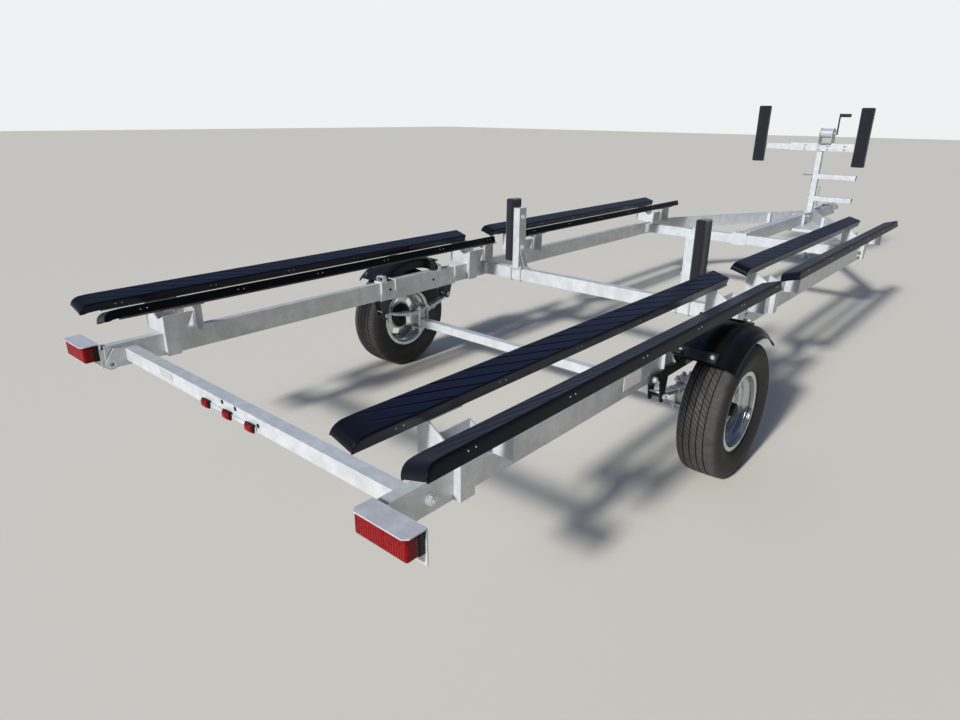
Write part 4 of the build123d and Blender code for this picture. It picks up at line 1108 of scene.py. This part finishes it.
def leafPath(index, behind, ahead):
    # the leaf's upper face as (0, station, height) along z = centre - sqrt(r^2 - s^2)
    r = spring["radius"] + index * spring["leaf"]
    s = np.linspace(-behind, ahead, 33)
    path = np.stack([0 * s, s, spring["centreZ"] - np.sqrt(r ** 2 - s ** 2)], -1)
    if index:
        return path
    turn = np.radians(np.linspace(-60, 200, 16))
    s0, z0 = spring["pin"]
    eye = np.stack([0 * turn, s0 + spring["eye"] * np.cos(turn), z0 + spring["eye"] * np.sin(turn)], -1)
    return np.concatenate([path, eye])


shapes = []
for _, sign in sides:
    base = at(sign * spring["x"], 0, 0)
    for index, behind, ahead in spring["reach"]:
        shapes.append(strip(leafPath(index, behind, ahead) + base, (-spring["width"], 0, 0), spring["leaf"]))
    for s in spring["clips"]:
        z = spring["centreZ"] - math.sqrt(spring["radius"] ** 2 - s ** 2)
        path = [base + (x, s, z + rise) for x, rise in spring["clipPath"]]
        shapes.append(bentStrip(path, spring["clipStrip"]))
makePiece("rolled_leaf_springs", shapes, "galvanised_steel", "root", 38, "leaf_springs")
print("springs done")

# bent rods and clips; the U-bolts' path is (station, height), the others are (x, height), and a strip is
# (width, thickness, corner)
bent = {
    "uBolt": 0.0042,
    "uCorner": 0.012,
    "guideFeet": (0.546, 0.622),
    "uPath": ((0.6215, 0.6290), (0.6215, 0.5290), (0.6825, 0.5290), (0.6825, 0.6290)),
    "braceStation": 0.652,
    "bracePath": ((0.5595, 0.745), (0.5570, 0.712), (0.5220, 0.624), (0.4900, 0.6125)),
    "braceStrip": (0.036, 0.004, 0.010),
    "clipStations": (-0.262, 0.200),
    "clipPath": ((0.872, 0.616), (0.872, 0.654), (0.920, 0.654), (0.920, 0.616)),
    "clipStrip": (0.026, 0.005, 0.006),
}
shapes = []
for _, sign in sides:
    for x in bent["guideFeet"]:
        path = [at(sign * x, s, z) for s, z in bent["uPath"]]
        shapes.append(rod(rounded(path, bent["uCorner"]), bent["uBolt"], (1, 0, 0)))
    # a slanted brace at the foot of each guide post, and a hooked clip over each fender strap's foot
    path = [at(sign * x, bent["braceStation"], z) for x, z in bent["bracePath"]]
    shapes.append(bentStrip(path, bent["braceStrip"]))
    for s in bent["clipStations"]:
        path = [at(sign * x, s, z) for x, z in bent["clipPath"]]
        shapes.append(bentStrip(path, bent["clipStrip"]))
makePiece("u_bolts_and_clips", shapes, "zinc_plated_steel")

# washers welded round the tie-down holes, as (from the plate's middle, radius)
tieDown = {
    "place": (0.8685, -1.803, 0.543),
    "washer": ((-0.0042, 0.0102), (-0.0042, 0.0180), (-0.0032, 0.0190), (0.0032, 0.0190),
               (0.0042, 0.0180), (0.0042, 0.0102)),
}
makePiece("tie_down_rings", onBothSides(turned(tieDown["washer"], 40), tieDown["place"]), "zinc_plated_steel")

# dark discs over the open holes in the carriages and the rear crossmember, a painted shade for the dark
# inside of each hole; a shape's rows are (radius, height)
holeDisc = {
    "shape": ((0.0085, 0), (0.0085, 0.0008), (0.006, 0.0018)),
    "carriageX": 0.872,
    "carriage": ((-0.218, 0.573), (0.145, 0.571)),  # station, height
    "crossStation": -1.740,
    "cross": ((-0.053, 0.591), (0.035, 0.591), (0.177, 0.572)),  # x, height
}
places = [(at(sign * holeDisc["carriageX"], s, z), (-sign, 0, 0), 0) for _, sign in sides
          for s, z in holeDisc["carriage"]]
places += [(at(x, holeDisc["crossStation"], z), back, 0) for x, z in holeDisc["cross"]]
rings = [ring(radius, height) for radius, height in holeDisc["shape"]]
makePiece("dark_hole_discs", [scattered(stacked(rings, 12), places)], "black_lamp_body", smooth=35)

# pan-head screws in pairs along both sides of each cover
coverScrew = {
    "shape": ((0.0026, -0.001), (0.0026, 0.0004), (0.0019, 0.0011)),
    "pairs": 6,
    "ends": (0.16, 0.06),  # from the cover's rear and front
    "apart": 0.028,
    "below": 0.019,
}
places = []
for _, sign in sides:
    for lean, start, end in bunk["rows"]:
        low, across, upward = bunkAxes(sign, lean)
        for s in np.linspace(start + coverScrew["ends"][0], end - coverScrew["ends"][1], coverScrew["pairs"]):
            for offset in (-coverScrew["apart"] / 2, coverScrew["apart"] / 2):
                for u, way in ((0.0, -across), (bunk["width"], across)):
                    point = low + u * across - coverScrew["below"] * upward + (0, s + offset, 0)
                    places.append((point, way, 0))
rings = [ring(radius, height) for radius, height in coverScrew["shape"]]
makePiece("cover_screws", [scattered(stacked(rings, 12), places)], "zinc_plated_steel", smooth=35)

# bare labels on the right rail and on the rear crossmember: finish, place and box
labels = {
    "bare_label": ("whiteFilm", (0.9172, -0.5350, 0.5800), ((0.0005, 0.0720, 0.0285), 0.0004, (1, 8, 4))),
    "bare_grey_label": ("greyFilm", (-0.491, -1.7410, 0.577), ((0.050, 0.0005, 0.0130), 0.0004, (8, 1, 4))),
}
for name, (film, place, box) in labels.items():
    makePiece(name, [moved(roundedBox(*box), at(*place))], film)
print("clips, holeDiscs and labels done")

# closing
print("all pieces made")
